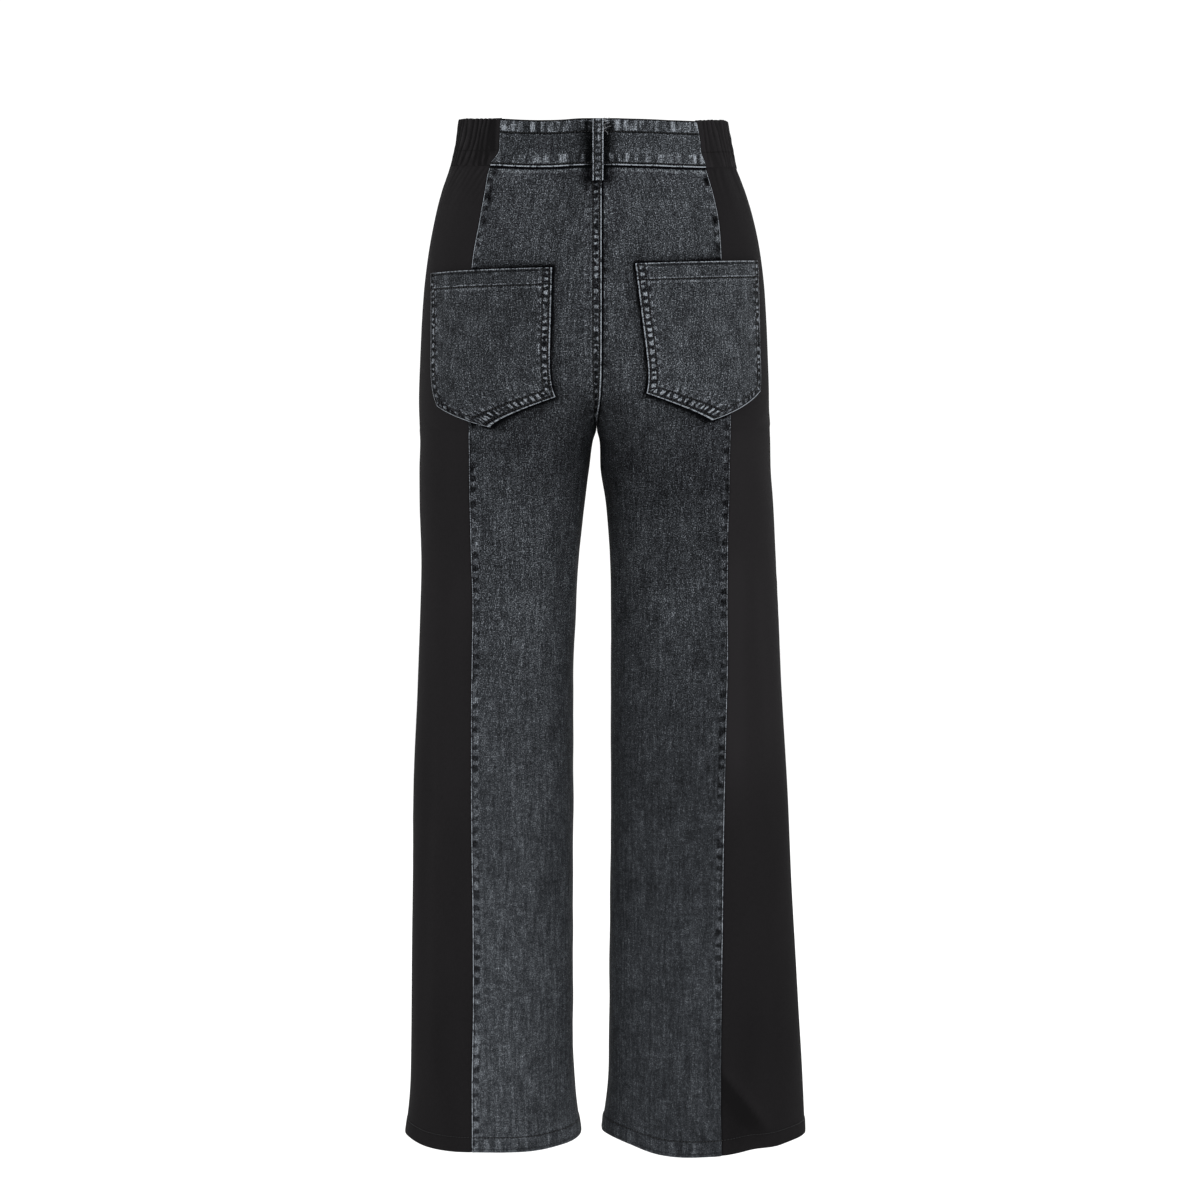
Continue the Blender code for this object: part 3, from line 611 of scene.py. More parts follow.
def charts():
    """The body line of both sides, worked out once."""
    if not CHARTS:
        for side in SIDES:
            CHARTS[side] = Chart(side)
        spare = {side: {way: table.copy() for way, table in CHARTS[side].points.items()} for side in SIDES}
        for side in SIDES:
            CHARTS[side].join(spare[-side])
    return CHARTS


def over_middle(z, run):
    """Points and normals across the back middle, where run is more than 0 on the left."""
    left, left_normals = charts()[1].at(z, np.abs(run))
    right, right_normals = charts()[-1].at(z, np.abs(run))
    on_left = (run >= 0)[..., None]
    return np.where(on_left, left, right), np.where(on_left, left_normals, right_normals)


# Cloth


def graded(length, near, far, count):
    """Places along a length: close together near both ends and even between, in millimetres from each
    end. One row for each length."""
    length = np.asarray(length, float)[..., None]
    near = np.array(near) * MM + 0 * length
    far = length - np.array(far[::-1]) * MM
    share = np.linspace(0.0, 1.0, count + 2)[1:-1]
    middle = near[..., -1:] * (1 - share) + far[..., :1] * share
    return np.concatenate([near, middle, far], axis=-1)


def cloth(name, surface, heights, maps, wear_and_shading, materials, node):
    """A closed wall of cloth over a grid of points and normals, from one height off it to another, with its
    maps and its wash marks and painted light and shade. materials are those of the face and of the reverse."""
    points, normals = surface
    rows, columns = points.shape[:2]
    outer, inner = (points + normals * np.broadcast_to(h, (rows, columns))[..., None] for h in heights)
    number = np.arange(rows * columns).reshape(rows, columns)
    a, b, c, d = number[:-1, :-1], number[:-1, 1:], number[1:, 1:], number[1:, :-1]
    face = np.stack([a, b, c, d], axis=-1).reshape(-1, 4)
    rim = np.concatenate([number[0, :], number[1:, -1], number[-1, -2::-1], number[-2:0:-1, 0]])
    after = np.roll(rim, -1)
    back = rows * columns
    sides = np.stack([after, rim, rim + back, after + back], axis=-1)
    quads = np.concatenate([face, face[:, ::-1] + back, sides])
    across, down = outer[0, 1] - outer[0, 0], outer[1, 0] - outer[0, 0]
    if np.cross(across, down) @ (outer[0, 0] - inner[0, 0]) < 0:
        quads = quads[:, ::-1]
    points = np.concatenate([outer.reshape(-1, 3), inner.reshape(-1, 3)])
    mesh = bpy.data.meshes.new(name)
    mesh.from_pydata(points.tolist(), [], quads.tolist())
    reverse = np.zeros(len(quads), dtype=np.int32)
    reverse[len(face) : 2 * len(face)] = 1
    for material in materials:
        mesh.materials.append(material)
    mesh.polygons.foreach_set("material_index", reverse)
    loops = np.empty(len(mesh.loops), dtype=np.int32)
    mesh.loops.foreach_get("vertex_index", loops)
    for label, values in maps.items():
        layer = mesh.uv_layers.new(name=label)
        flat = np.stack([np.broadcast_to(v, (rows, columns)).ravel() for v in values], axis=-1)
        flat = np.concatenate([flat, flat])
        layer.uv.foreach_set("vector", flat[loops].astype(np.float32).ravel())
    flat = np.broadcast_to(wear_and_shading, (rows, columns)).ravel()
    flat = np.concatenate([flat, flat]).astype(np.float32)
    # This attribute carries each piece's wash marks and its painted light and shade
    mesh.attributes.new("wear_and_shading", "FLOAT", "POINT").data.foreach_set("value", flat)
    mesh.shade_smooth()
    mesh.set_sharp_from_angle(angle=math.radians(60))
    made = bpy.data.objects.new(name, mesh)
    bpy.context.scene.collection.objects.link(made)
    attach(made, "root")
    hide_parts(node)
    width = np.linalg.norm(np.diff(outer, axis=1), axis=-1).sum(1).max()
    length = np.linalg.norm(np.diff(outer, axis=0), axis=-1).sum(0).max()
    one = np.cross(outer[:-1, 1:] - outer[:-1, :-1], outer[1:, :-1] - outer[:-1, :-1])
    two = np.cross(outer[1:, :-1] - outer[1:, 1:], outer[:-1, 1:] - outer[1:, 1:])
    area = float((np.linalg.norm(one, axis=-1) + np.linalg.norm(two, axis=-1)).sum() / 2)
    area = min(round(area, 4), 0.999 * round(width, 3) * round(length, 3))
    return made


def maps_of(arc, z, side_seam, middle, top, hem):
    """What the cloths' patterns are read from, in metres: the place on the cloth, and how far it is from
    the side seam, the middle seam, the top and the hem."""
    return {"Cloth": (arc, z), "Edges": (side_seam, middle), "Ends": (top, hem)}


FAR = 1.0

# Millimetres from an edge to the rows and columns of points beside it
FINE = (0.0, 0.3, 0.8, 1.5, 2.4, 3.6, 5.2, 7.0, 9.0)
HEM_FINE = (0.0, 0.35, 0.9, 1.8, 3.2, 12.6, 13.8, 15.2, 16.6, 18.5)
MOUTH_FINE = (0.0, 0.3, 0.8, 1.5, 2.5, 6.0, 10.0, 13.5, 15.0, 16.0, 17.0, 18.5)
FLY_FINE = FINE + (12.0, 16.0, 20.0, 24.0, 28.0, 31.0, 33.0, 34.5, 36.0, 37.5, 39.0)
TOP_FINE = (0.0, 0.25, 0.6, 1.0, 1.6, 2.4)


def panel_levels():
    """Levels of the rows of a leg panel, close together at the hem."""
    top = BAND_FOOT + 0.6 * MM
    return (top - graded(top - HEM, (0.0, 1.0, 2.5), HEM_FINE, 285))[:, None]


def rounded_edge(distance, depth, radius):
    """How far cloth turns in towards a folded edge."""
    t = np.clip(1 - distance / radius, 0.0, 1.0)
    return -depth * (1 - np.sqrt(np.clip(1 - t * t, 0.0, 1.0)))


def hem_height(above, run, seed):
    """The turned-up hem: a second layer up to its stitching, with the drag that the sewing left."""
    lay = 0.7 * MM * fall(above, HEM_HEIGHT - 1.2 * MM, HEM_HEIGHT + 1.6 * MM)
    within = stretch(above, 0.0, 5 * MM, HEM_HEIGHT - 4 * MM, HEM_HEIGHT + 6 * MM)
    drag = 0.45 * MM * within * ripple(run / (9 * MM) + above / (14 * MM), above / (30 * MM), seed)
    groove = -0.35 * MM * bell(above - HEM_HEIGHT, 1.3 * MM)
    return lay + drag + groove + rounded_edge(above, 0.7 * MM, 1.0 * MM)


def pocket_flat(row):
    """A pocket's outline as lengths along the cloth and heights."""
    pocket = dict(zip(POCKET_COLUMNS, row))
    chart = charts()[pocket["side"]]
    corners = {}
    for name in POCKET_COLUMNS[1:]:
        distance, z = pocket[name][0] * MM, pocket[name][1] * MM
        arcs = np.linspace(0.0, 0.25, 501)
        x = np.abs(chart.at(z, arcs)[0][:, 0])
        corners[name] = np.array([np.interp(distance, x[: x.argmax()], arcs[: x.argmax()]), z])
    return pocket["side"], corners


def to_segment(points, a, b):
    """Distance of flat points from a segment."""
    along = b - a
    t = np.clip(((points - a) @ along) / (along @ along), 0.0, 1.0)
    return np.linalg.norm(points - a - t[..., None] * along, axis=-1)


def pocket_distance(row, arc, z):
    """Distance of points of the cloth from the pocket's outline, less than 0 inside."""
    _, c = pocket_flat(row)
    points = np.stack([arc, z], axis=-1)
    ring = [c["top_inner"], c["top_outer"], c["foot_outer"], c["tip"], c["foot_inner"]]
    nearest = np.min([to_segment(points, ring[k], ring[(k + 1) % 5]) for k in range(5)], axis=0)
    inside = np.ones(arc.shape, bool)
    centre = np.mean(ring, axis=0)
    for k in range(5):
        a, b = ring[k], ring[(k + 1) % 5]
        cross = (b[0] - a[0]) * (points[..., 1] - a[1]) - (b[1] - a[1]) * (points[..., 0] - a[0])
        middle = (b[0] - a[0]) * (centre[1] - a[1]) - (b[1] - a[1]) * (centre[0] - a[0])
        inside &= cross * middle > 0
    return np.where(inside, -nearest, nearest)


def make_back_leg(side, denim, reverse):
    """Denim back leg. The left one laps over the right one at the felled seat seam."""
    chart = charts()[side]
    z = panel_levels()
    begin = -SEAT_FELL * ease(z, CROTCH + 2 * MM, CROTCH + 30 * MM) if side > 0 else 0 * z
    seam = chart.level(chart.back_seam, z)
    arc = begin + graded((seam - begin)[:, 0], FINE + (11.0, 13.0), FINE, 34)
    middle, to_side = arc - begin, seam - arc
    fell = ease(z, CROTCH + 2 * MM, CROTCH + 16 * MM)
    if side > 0:
        width = 2 * SEAT_FELL
        ridge = 0.95 * MM * fall(middle, width - 0.8 * MM, width + 2.2 * MM)
        ridge = ridge + rounded_edge(middle, 0.7 * MM, 0.8 * MM)
        pucker = 0.30 * MM * ripple(z / (7 * MM), middle / (30 * MM), 5)
        ridge = ridge + pucker * stretch(middle, 1 * MM, 4 * MM, 8 * MM, 15 * MM)
    else:
        ridge = -0.7 * MM * fall(middle, 4.2 * MM, 7.5 * MM)
        pucker = 0.2 * MM * ripple(z / (8 * MM), middle / (30 * MM), 6)
        ridge = ridge + pucker * stretch(middle, 4 * MM, 7 * MM, 9 * MM, 16 * MM)
    above = z - HEM
    height = ridge * fell + side_seam_height(to_side, z, 11 + side)
    height = height + hem_height(above, arc, 21 + side)
    height = height + 0.28 * MM * ripple(arc / (45 * MM), z / (70 * MM), 31 + side)
    # Darker just outside the pocket: a painted shadow of its raised edge, with dye that the wash left around
    # it
    away = pocket_distance(POCKETS[SIDES.index(side)], arc, z + 0 * arc)
    out = np.clip(away, 0, None)
    wear_and_shading = -(1.1 * bell(out, 1.6 * MM) + 0.42 * np.exp(-out / (4 * MM))) * (away > -2 * MM)
    wear_and_shading = wear_and_shading + crotch_shade(side, arc, z) + loop_shade(side * arc, z)
    wear_and_shading = wear_and_shading - (0.045 if side > 0 else 0.015) * ease(z, -340 * MM, -260 * MM)
    wear_and_shading = wear_and_shading + 0.55 * bell(to_side - 0.3 * MM, 0.9 * MM) * ease(z, -165 * MM, -105 * MM)
    for row in SEAM_BLOTS:
        blot = dict(zip(BLOT_COLUMNS, row))
        if blot["side"] == side:
            across, down = to_side - blot["from_side"] * MM, z - blot["z"] * MM
            wear_and_shading = wear_and_shading - 0.75 * bell(across, 2.2 * MM) * bell(down, blot["half"] * MM)
    seat = np.where(z > CROTCH + 3 * MM, middle, FAR)
    maps = maps_of(to_side + 0.2 * side, z, to_side, seat, BAND_FOOT - z, above)
    heights = (height, -bpy.context.scene.jeans_cloth.denim_thickness)
    name = "back_" + side_name(side)
    return cloth("jeans_" + name, chart.at(z, arc), heights, maps, wear_and_shading, (denim, reverse), name)


def loop_shade(x, z):
    """Darker beside and below the belt loop: cloth the loop kept from the wash, and a painted shadow where
    it stands off.
    """
    away = np.hypot(np.clip(np.abs(x + 1.5 * MM) - 6 * MM, 0, None), np.clip(-34 * MM - z, 0, None) * 1.2)
    return -0.75 * bell(away, 9 * MM) * (z < 21 * MM)


def side_seam_height(distance, z, seed):
    """Seam allowance pressed under the denim, its folded edge and the puckers beside it."""
    lay = 0.40 * MM * fall(distance, 7.5 * MM, 11 * MM)
    pucker = ripple(z / (10 * MM), distance / (26 * MM), seed) * 0.32 * MM
    strip = stretch(distance, 0.6 * MM, 3 * MM, 8 * MM, 16 * MM)
    return lay + pucker * strip + rounded_edge(distance, 0.9 * MM, 0.9 * MM)


def crotch_shade(side, arc, z):
    """Painted shade: darker where the cloth folds at the crotch and below the seat."""
    strong = 0.20 if side < 0 else 0.12
    inner = strong * bell(arc, 34 * MM) * bell(z - CROTCH + 70 * MM, 80 * MM)
    fold = 0.14 * bell(z - CROTCH + 40 * MM, 62 * MM) + 0.20 * bell(arc, 22 * MM) * bell(z - CROTCH, 26 * MM)
    return -inner - fold


def make_front_leg(side, denim, reverse):
    """Denim front leg. The left one carries the fly facing and laps over the right one."""
    chart = charts()[side]
    z = panel_levels()
    seam = chart.level(chart.front_seam, z)
    arc = graded(seam[:, 0], FLY_FINE, FINE, 22)
    to_side = seam - arc
    above = z - HEM
    height = side_seam_height(to_side, z, 15 + side) + hem_height(above, -arc, 23 + side)
    height = height + 0.28 * MM * ripple(arc / (45 * MM), z / (70 * MM), 37 + side)
    opened = ease(z, CROTCH + 4 * MM, CROTCH + 20 * MM)
    seat = np.where(z > CROTCH + 3 * MM, arc, FAR)
    wear_and_shading = whiskers(arc, z) + crotch_shade(side, arc, z)
    if side > 0:
        curve = fly_line(z)
        inside = curve - arc
        height = height + 0.85 * MM * ease(inside, -1.2 * MM, 1.2 * MM) * (z > FLY_FOOT - 30 * MM)
        pucker = 0.22 * MM * ripple(z / (9 * MM), arc / (24 * MM), 41)
        height = height + pucker * bell(inside, 6 * MM) * (curve > 0)
        height = height + rounded_edge(arc, 0.8 * MM, 0.9 * MM) * opened
        rows = bell(inside, 0.9 * MM) + bell(inside - 6 * MM, 0.9 * MM)
        puckered = bell(inside - 3 * MM, 1.7 * MM) * (0.5 + ripple(z / (6 * MM), arc / (20 * MM), 43))
        wear_and_shading = wear_and_shading + (curve > 0) * (0.30 * puckered - 1.1 * rows)
    else:
        height = height - 0.6 * MM * fall(arc, 1.0 * MM, 3.5 * MM) * opened
    maps = maps_of(to_side + 0.5 * side, z, to_side, seat, BAND_FOOT - z, above)
    heights = (height, -bpy.context.scene.jeans_cloth.denim_thickness)
    name = "front_" + side_name(side)
    surface = chart.at(z, arc, "front")
    return cloth("jeans_" + name, surface, heights, maps, wear_and_shading, (denim, reverse), name)


def fly_line(z):
    """Length from the front middle out to the fly's curved stitching, by height."""
    down = np.clip((FLY_FOOT + FLY_CURVE - z) / FLY_CURVE, 0.0, 1.0)
    curve = (FLY_WIDTH - 2 * MM) * np.sqrt(np.clip(1 - down**2.2, 0, 1))
    return np.where(z > FLY_FOOT, curve, -1.0 * MM)


def whiskers(arc, z):
    """Pale creases that the wash left from the hip joint towards the side."""
    total = 0.0 * arc
    reach = stretch(arc, 10 * MM, 40 * MM, 80 * MM, 128 * MM)
    for entry in WHISKERS:
        row = dict(zip(WHISKER_COLUMNS, entry))
        line = row["z"] * MM + row["slope"] * arc + 3 * MM * np.sin(arc / (21 * MM) + row["z"])
        total = total + row["strength"] * reach * bell(z - line, 4.5 * MM)
    return total


def make_side(side, ahead, twill, reverse):
    """Half of a black side leg, tucked under the denim's folded edge, with soft pleats below the elastic.
    The halves meet in a pressed seam at the outside."""
    chart = charts()[side]
    z = panel_levels()
    tuck = 0.8 * MM
    start, outside = chart.level(chart.back_seam, z) - tuck, chart.level(chart.outside, z)
    end = chart.level(chart.total, z) - chart.level(chart.front_seam, z) + tuck
    first, last = (outside, end) if ahead else (start, outside)
    arc = first + graded((last - first)[:, 0], FINE, FINE, 28)
    surface = chart.at(z, arc)
    near = end - arc if ahead else arc - start
    from_outside = np.abs(arc - outside)
    above = z - HEM
    height = -0.45 * MM - 0.55 * MM * fall(near, 0.8 * MM, 4.5 * MM)
    pucker = 0.20 * MM * ripple(z / (14 * MM), near / (30 * MM), 61 + side)
    height = height + pucker * np.exp(-near / (9 * MM))
    height = height + rounded_edge(from_outside, 0.55 * MM, 0.9 * MM)
    pucker = 0.16 * MM * ripple(z / (17 * MM), 0 * arc, 63 + side)
    height = height + pucker * np.exp(-from_outside / (6 * MM))
    share = (arc - start) / (end - start)
    below = BAND_FOOT - z
    uneven = 0.65 + 0.35 * ripple(share * 9, 0 * share, 71 + side)
    fade = np.clip(1 - below / (52 * MM), 0.0, 1.0) ** 1.7 * uneven
    slant = 0.062 * below / MM if side > 0 else 0
    wobble = 0.35 * ripple(share * 6, below / (60 * MM), 73 + side) - slant
    gather = 0.5 - 0.5 * np.cos(2 * math.pi * (GATHERS * share + wobble))
    height = height + 0.95 * MM * fade * (gather - 0.35)
    height = height + hem_height(above, arc, 25 + side) * 0.8
    height = height + 0.45 * MM * ripple(arc / (60 * MM), z / (150 * MM), 81 + side)
    maps = maps_of(arc, z, near, from_outside, below, above)
    # Painted light and shade on the gathers below the elastic: ridges lighter, hollows darker
    wear_and_shading = 0.9 * fade * (gather - 0.55) * ease(below, 0, 3 * MM)
    if not ahead:
        wear_and_shading = wear_and_shading + side_shade(side, surface[0][..., 0], z)
    heights = (height, -(bpy.context.scene.jeans_cloth.twill_thickness + 0.5 * MM))
    name = ("side_front_" if ahead else "side_back_") + side_name(side)
    return cloth("jeans_" + name, surface, heights, maps, wear_and_shading, (twill, reverse), name)


def side_shade(side, x, z):
    """Where the folds of the black sides catch the light and where they lie in their own shade."""
    if side > 0:
        return 0.10 * bell(z + 480 * MM, 90 * MM) * bell(x - 140 * MM, 14 * MM)
    long_fold = bell(x + 138 * MM, 8 * MM) * stretch(z, -640 * MM, -560 * MM, -440 * MM, -380 * MM)
    slope = np.array([-33.0, -43.0]) / np.hypot(33.0, 43.0)
    below = ((z + 917 * MM) * slope[0] - (x + 126 * MM) * slope[1]) / MM
    along = ((x + 126 * MM) * slope[0] + (z + 917 * MM) * slope[1]) / MM
    near = stretch(along, -12, 8, 50, 90)
    dark = ease(below, -3, 4) * (1 - 0.55 * ease(below, 8, 24)) * fall(below, 26, 50)
    pale = bell(np.clip(-below, 0, None), 11) * ease(-below, -2, 4)
    upper = stretch(z, -700 * MM, -560 * MM, -300 * MM, -240 * MM)
    return 0.30 * upper + 0.34 * long_fold + near * (0.14 * pale - 0.48 * dark)


# Waistband


def band_levels():
    """Levels of the rows of the denim waistband."""
    return (BAND_TOP - graded(BAND_TOP - BAND_FOOT, TOP_FINE, (0.0, 0.3, 0.8, 1.4, 2.2), 26))[:, None]


def upright(normals):
    """Normals levelled, so that a band's edges stay level."""
    flat = normals.copy()
    flat[..., 2] = 0.0
    return flat / np.linalg.norm(flat, axis=-1, keepdims=True)


def denim_band(name, surface, run, z, ends_near, extra, wear_and_shading, materials):
    """A piece of the denim waistband, with a folded top edge and a turned-in foot."""
    top, foot = BAND_TOP - z, z - BAND_FOOT
    roll = rounded_edge(top, 1.15 * MM, 1.2 * MM)
    outside = 1.25 * MM + extra + roll + rounded_edge(foot, 0.55 * MM, 0.8 * MM)
    surface = (surface[0], upright(surface[1]))
    maps = maps_of(run, z, ends_near, FAR, top, foot)
    node = "waist" + name
    return cloth("jeans_" + name, surface, (outside, -(1.1 * MM + roll)), maps, wear_and_shading, materials, node)


def band_puckers(run, z, seed):
    """Folds that the two rows of stitching pulled into the band's edges."""
    top, foot = BAND_TOP - z, z - BAND_FOOT
    upper = ripple(run / (13 * MM), top / (30 * MM), seed)
    upper = upper * stretch(top, 1 * MM, 4 * MM, 8 * MM, 15 * MM)
    lower = ripple(run / (11 * MM) + foot / (30 * MM), foot / (30 * MM), seed + 1)
    lower = lower * stretch(foot, 1 * MM, 4 * MM, 9 * MM, 17 * MM)
    swell = 0.45 * MM * ease(top, 2 * MM, 12 * MM) * ease(foot, 2 * MM, 12 * MM)
    return 0.38 * MM * upper + 0.42 * MM * lower + swell


def make_band_back(denim, reverse):
    """Denim waistband over the seat, in one piece."""
    z = band_levels()
    left, right = (charts()[side].level(charts()[side].back_seam, z) for side in SIDES)
    length = left + right
    place = graded(length[:, 0], FINE, FINE, 84)
    run = place - right
    ends_near = np.minimum(place, length - place)
    extra = band_puckers(run, z, 101) + rounded_edge(ends_near, 0.8 * MM, 0.9 * MM)
    wear_and_shading = loop_shade(run, z) - 0.02 + 0.10 * fall(run, -10 * MM, 10 * MM)
    surface = over_middle(z, run)
    return denim_band("band_back", surface, run, z, ends_near, extra, wear_and_shading, (denim, reverse))


def make_band_front(side, denim, reverse):
    """Denim end of the waistband at the front. The left one lies over the right one."""
    chart = charts()[side]
    z = band_levels()
    begin = -1.0 * MM if side > 0 else 1.3 * MM
    seam = chart.level(chart.front_seam, z)
    place = graded((seam - begin)[:, 0], FINE, FINE, 40)
    run = begin + place
    ends_near = np.minimum(place, seam - run)
    extra = band_puckers(run, z, 111 + side) + rounded_edge(ends_near, 0.9 * MM, 0.9 * MM)
    if side > 0:
        extra = extra + 0.85 * MM * fall(run, 32 * MM, 38 * MM)
    name, surface = "band_front_" + side_name(side), chart.at(z, run, "front")
    return denim_band(name, surface, run, z, ends_near, extra, 0.0, (denim, reverse))


def make_band_side(side, twill, reverse):
    """Black side of the waistband, gathered by the elastic inside it."""
    chart = charts()[side]
    down = graded(BAND_TOP - BAND_FOOT + 0.6 * MM, TOP_FINE, (0.0, 0.6, 1.4), 24)
    z = (BAND_TOP + 0.9 * MM - down)[:, None]
    first = chart.level(chart.back_seam, z) - 0.6 * MM
    last = chart.level(chart.total, z) - chart.level(chart.front_seam, z) + 0.6 * MM
    share = np.linspace(0.0, 1.0, GATHERS * 12 + 1)
    arc = first + (last - first) * share
    points, normals = chart.at(z, arc)
    top = BAND_TOP + 0.9 * MM - z
    straight = first[0] + (first[-1] - first[0]) * (z - z[0]) / (z[-1] - z[0])
    level = (arc - straight) / (last - straight)
    wobble = 0.30 * ripple(level * 5, z / (80 * MM), 121 + side)
    wobble = wobble + 0.10 * ripple(level * 23, z / (26 * MM), 125 + side)
    phase = 2 * math.pi * (GATHERS * level + wobble)
    size = 0.72 + 0.38 * ripple(share * 10, z / (60 * MM), 131 + side)
    ends_near = np.minimum(share, 1 - share) * (last - first)
    calm = ease(ends_near, 3 * MM, 9 * MM)
    ridge = (0.5 - 0.5 * np.cos(phase)) ** 0.75 * size
    small = 0.12 * ripple(share * 60, z / (12 * MM), 141 + side)
    full = ease(z, BAND_FOOT - 3 * MM, BAND_FOOT + FOOT_TAPER + 11 * MM)
    extra = 1.75 * MM * (ridge + small - 0.35) * ease(ends_near, 0, 4 * MM) * (0.4 + 0.6 * full)
    roll = rounded_edge(top, 1.15 * MM, 1.2 * MM)
    outside = 1.05 * MM * full + extra + roll
    inside = 1.1 * MM + roll - 0.4 * extra * ease(top, 0, 3 * MM)
    near = np.minimum(arc - first, last - arc)
    maps = maps_of(arc, z, near, near, top, z - BAND_FOOT)
    points[..., 2] += 0.5 * MM * (ridge - 0.5) * fall(top, 0, 6 * MM)
    # Painted light and shade on the gathers, ridges lighter and hollows darker; the right side lighter all
    # over. On the left, a dark line 10 mm from the denim and a broken dark line along the foot
    wear_and_shading = calm * (1.25 if side > 0 else 0.75) * (ridge - 0.62) + (0.0 if side > 0 else 0.34)
    if side > 0:
        foot = bell(z - BAND_FOOT - 0.6 * MM, 0.9 * MM) * ripple(arc / (8 * MM), 0 * arc, 151)
        wear_and_shading = wear_and_shading - 0.55 * bell(near - 10 * MM, 2.6 * MM) - 0.35 * foot
    name, surface = "band_side_" + side_name(side), (points, upright(normals))
    heights = (outside, -inside)
    return cloth("jeans_" + name, surface, heights, maps, wear_and_shading, (twill, reverse), "waist" + name)


# Pockets and loops


def make_pocket(row, denim, reverse):
    """Patch pocket with a hemmed mouth, its edges turned under and sewn down with two rows."""
    side, c = pocket_flat(row)
    span = np.linalg.norm(c["top_outer"] - c["top_inner"])
    share = graded(span, FINE, FINE, 42) / span
    share = np.unique(np.append(share, 0.5))[None, :]
    tip = 0.5
    foot_in = c["foot_inner"] + (c["tip"] - c["foot_inner"]) * np.clip(share / tip, 0, 1).T
    foot_out = c["tip"] + (c["foot_outer"] - c["tip"]) * np.clip((share - tip) / (1 - tip), 0, 1).T
    foot = np.where(share.T <= tip, foot_in, foot_out)
    mouth = c["top_inner"] + (c["top_outer"] - c["top_inner"]) * share.T
    depth = mouth[:, 1] - foot[:, 1]
    down = graded(depth, MOUTH_FINE, FINE, 46) / depth[:, None]
    flat = mouth[:, None, :] + (foot - mouth)[:, None, :] * down[..., None]
    flat = np.swapaxes(flat, 0, 1)
    arc, z = flat[..., 0], flat[..., 1]
    sides = [to_segment(flat, a, b) for a, b in zip(ring_of(c)[:-1], ring_of(c)[1:])]
    edge = np.min(sides, axis=0)
    from_mouth = to_segment(flat, c["top_inner"], c["top_outer"])
    turned = 0.45 * MM * fall(edge, 8.5 * MM, 11.5 * MM)
    hem = 0.55 * MM * fall(from_mouth, POCKET_HEM - 1.0 * MM, POCKET_HEM + 1.8 * MM)
    groove = -0.30 * MM * bell(from_mouth - POCKET_HEM, 1.2 * MM)
    strip = stretch(edge, 0.8 * MM, 3 * MM, 7 * MM, 12 * MM)
    pucker = 0.34 * MM * ripple(arc / (6.5 * MM), z / (6.5 * MM), 151 + side) * strip
    uneven = 1 + 0.6 * ripple(arc / (50 * MM), z / (50 * MM), 155 + side)
    belly = 0.5 * MM * ease(edge, 8 * MM, 40 * MM) * uneven
    gape = 1.1 * MM * np.sin(math.pi * np.clip(share, 0, 1)) * np.exp(-from_mouth / (26 * MM))
    under = 0.45 * MM + gape
    lift = 1.75 * MM + gape + turned + hem + groove + pucker + belly
    lift = lift + rounded_edge(edge, 1.15 * MM, 1.1 * MM) + rounded_edge(from_mouth, 1.0 * MM, 1.0 * MM)
    wear_and_shading = 0.04 * ripple(arc / (26 * MM), z / (26 * MM), 161 + side) * ease(edge, 6 * MM, 20 * MM)
    wear_and_shading = wear_and_shading + (-0.055 if side > 0 else 0.03)
    # Pale rim along the outer side and the outer half of the foot: the rubbed fold of the edge, with a
    # painted highlight on it
    rim = bell(np.minimum(sides[2], sides[3]) - 0.9 * MM, 1.0 * MM)
    wear_and_shading = wear_and_shading + (0.60 if side > 0 else 0.95) * rim
    maps = maps_of(arc, z, edge, outline_run(flat, c), from_mouth, FAR)
    name, surface, heights = "pocket_" + side_name(side), charts()[side].at(z, arc), (lift, under)
    return cloth("jeans_" + name, surface, heights, maps, wear_and_shading, (denim, reverse), "back_" + name)


def ring_of(c):
    """A pocket's corners, down one side, round the foot and up the other side."""
    return [c[name] for name in ("top_inner", "foot_inner", "tip", "foot_outer", "top_outer")]


def outline_run(flat, c):
    """Length along the pocket's sides and foot to the place nearest to each point."""
    ring = ring_of(c)
    nearest, run, passed = np.full(flat.shape[:-1], np.inf), np.zeros(flat.shape[:-1]), 0.0
    for a, b in zip(ring[:-1], ring[1:]):
        length = np.linalg.norm(b - a)
        t = np.clip(((flat - a) @ (b - a)) / length**2, 0.0, 1.0)
        away = np.linalg.norm(flat - a - t[..., None] * (b - a), axis=-1)
        run = np.where(away < nearest, passed + t * length, run)
        nearest = np.minimum(away, nearest)
        passed += length
    return run


def make_loop(row, denim, reverse):
    """Belt loop: a folded strip with its ends turned under and sewn down."""
    loop = dict(zip(LOOP_COLUMNS, row))
    bends = [dict(zip(BEND_COLUMNS, bend)) for bend in BENDS]
    heights = np.array([bend["z"] for bend in bends])
    offs = np.array([max(bend["least"], bend["share"] * loop["stand"]) for bend in bends])
    down = np.linspace(heights[0], heights[-1], 120)
    off = smooth(down, heights, offs)[:, None] * MM
    outward = np.array([0.05, 0.2, 0.4, 0.6, 0.76, 0.88, 0.965, 1.0])
    across = np.concatenate([-outward[::-1], outward]) * LOOP_WIDTH / 2
    level, place = np.meshgrid(down * MM, loop["middle"] * MM + across, indexing="ij")
    if loop["way"] == "back":
        points, normals = over_middle(level, place)
    else:
        points, normals = charts()[1 if loop["middle"] > 0 else -1].at(level, np.abs(place), "front")
    edge = LOOP_WIDTH / 2 - np.abs(across)[None, :]
    end = np.minimum(heights[0] - down, down - heights[-1])[:, None] * MM
    middle_dip = -0.25 * MM * bell(across, 1.6 * MM)[None, :]
    pucker = 0.16 * MM * ripple(level / (6 * MM), across / (9 * MM), 171 + len(loop["name"]))
    face = off + 1.65 * MM + middle_dip + pucker + rounded_edge(edge, 0.6 * MM, 0.9 * MM)
    face = face + rounded_edge(end, 0.8 * MM, 1.0 * MM)
    back = off - rounded_edge(edge, 0.3 * MM, 0.6 * MM)
    maps = maps_of(across[None, :], level, edge, FAR, end, end)
    name, surface = loop["name"], (points, upright(normals))
    return cloth("jeans_" + name, surface, (face, back), maps, 0.0, (denim, reverse), name)


# Sewing


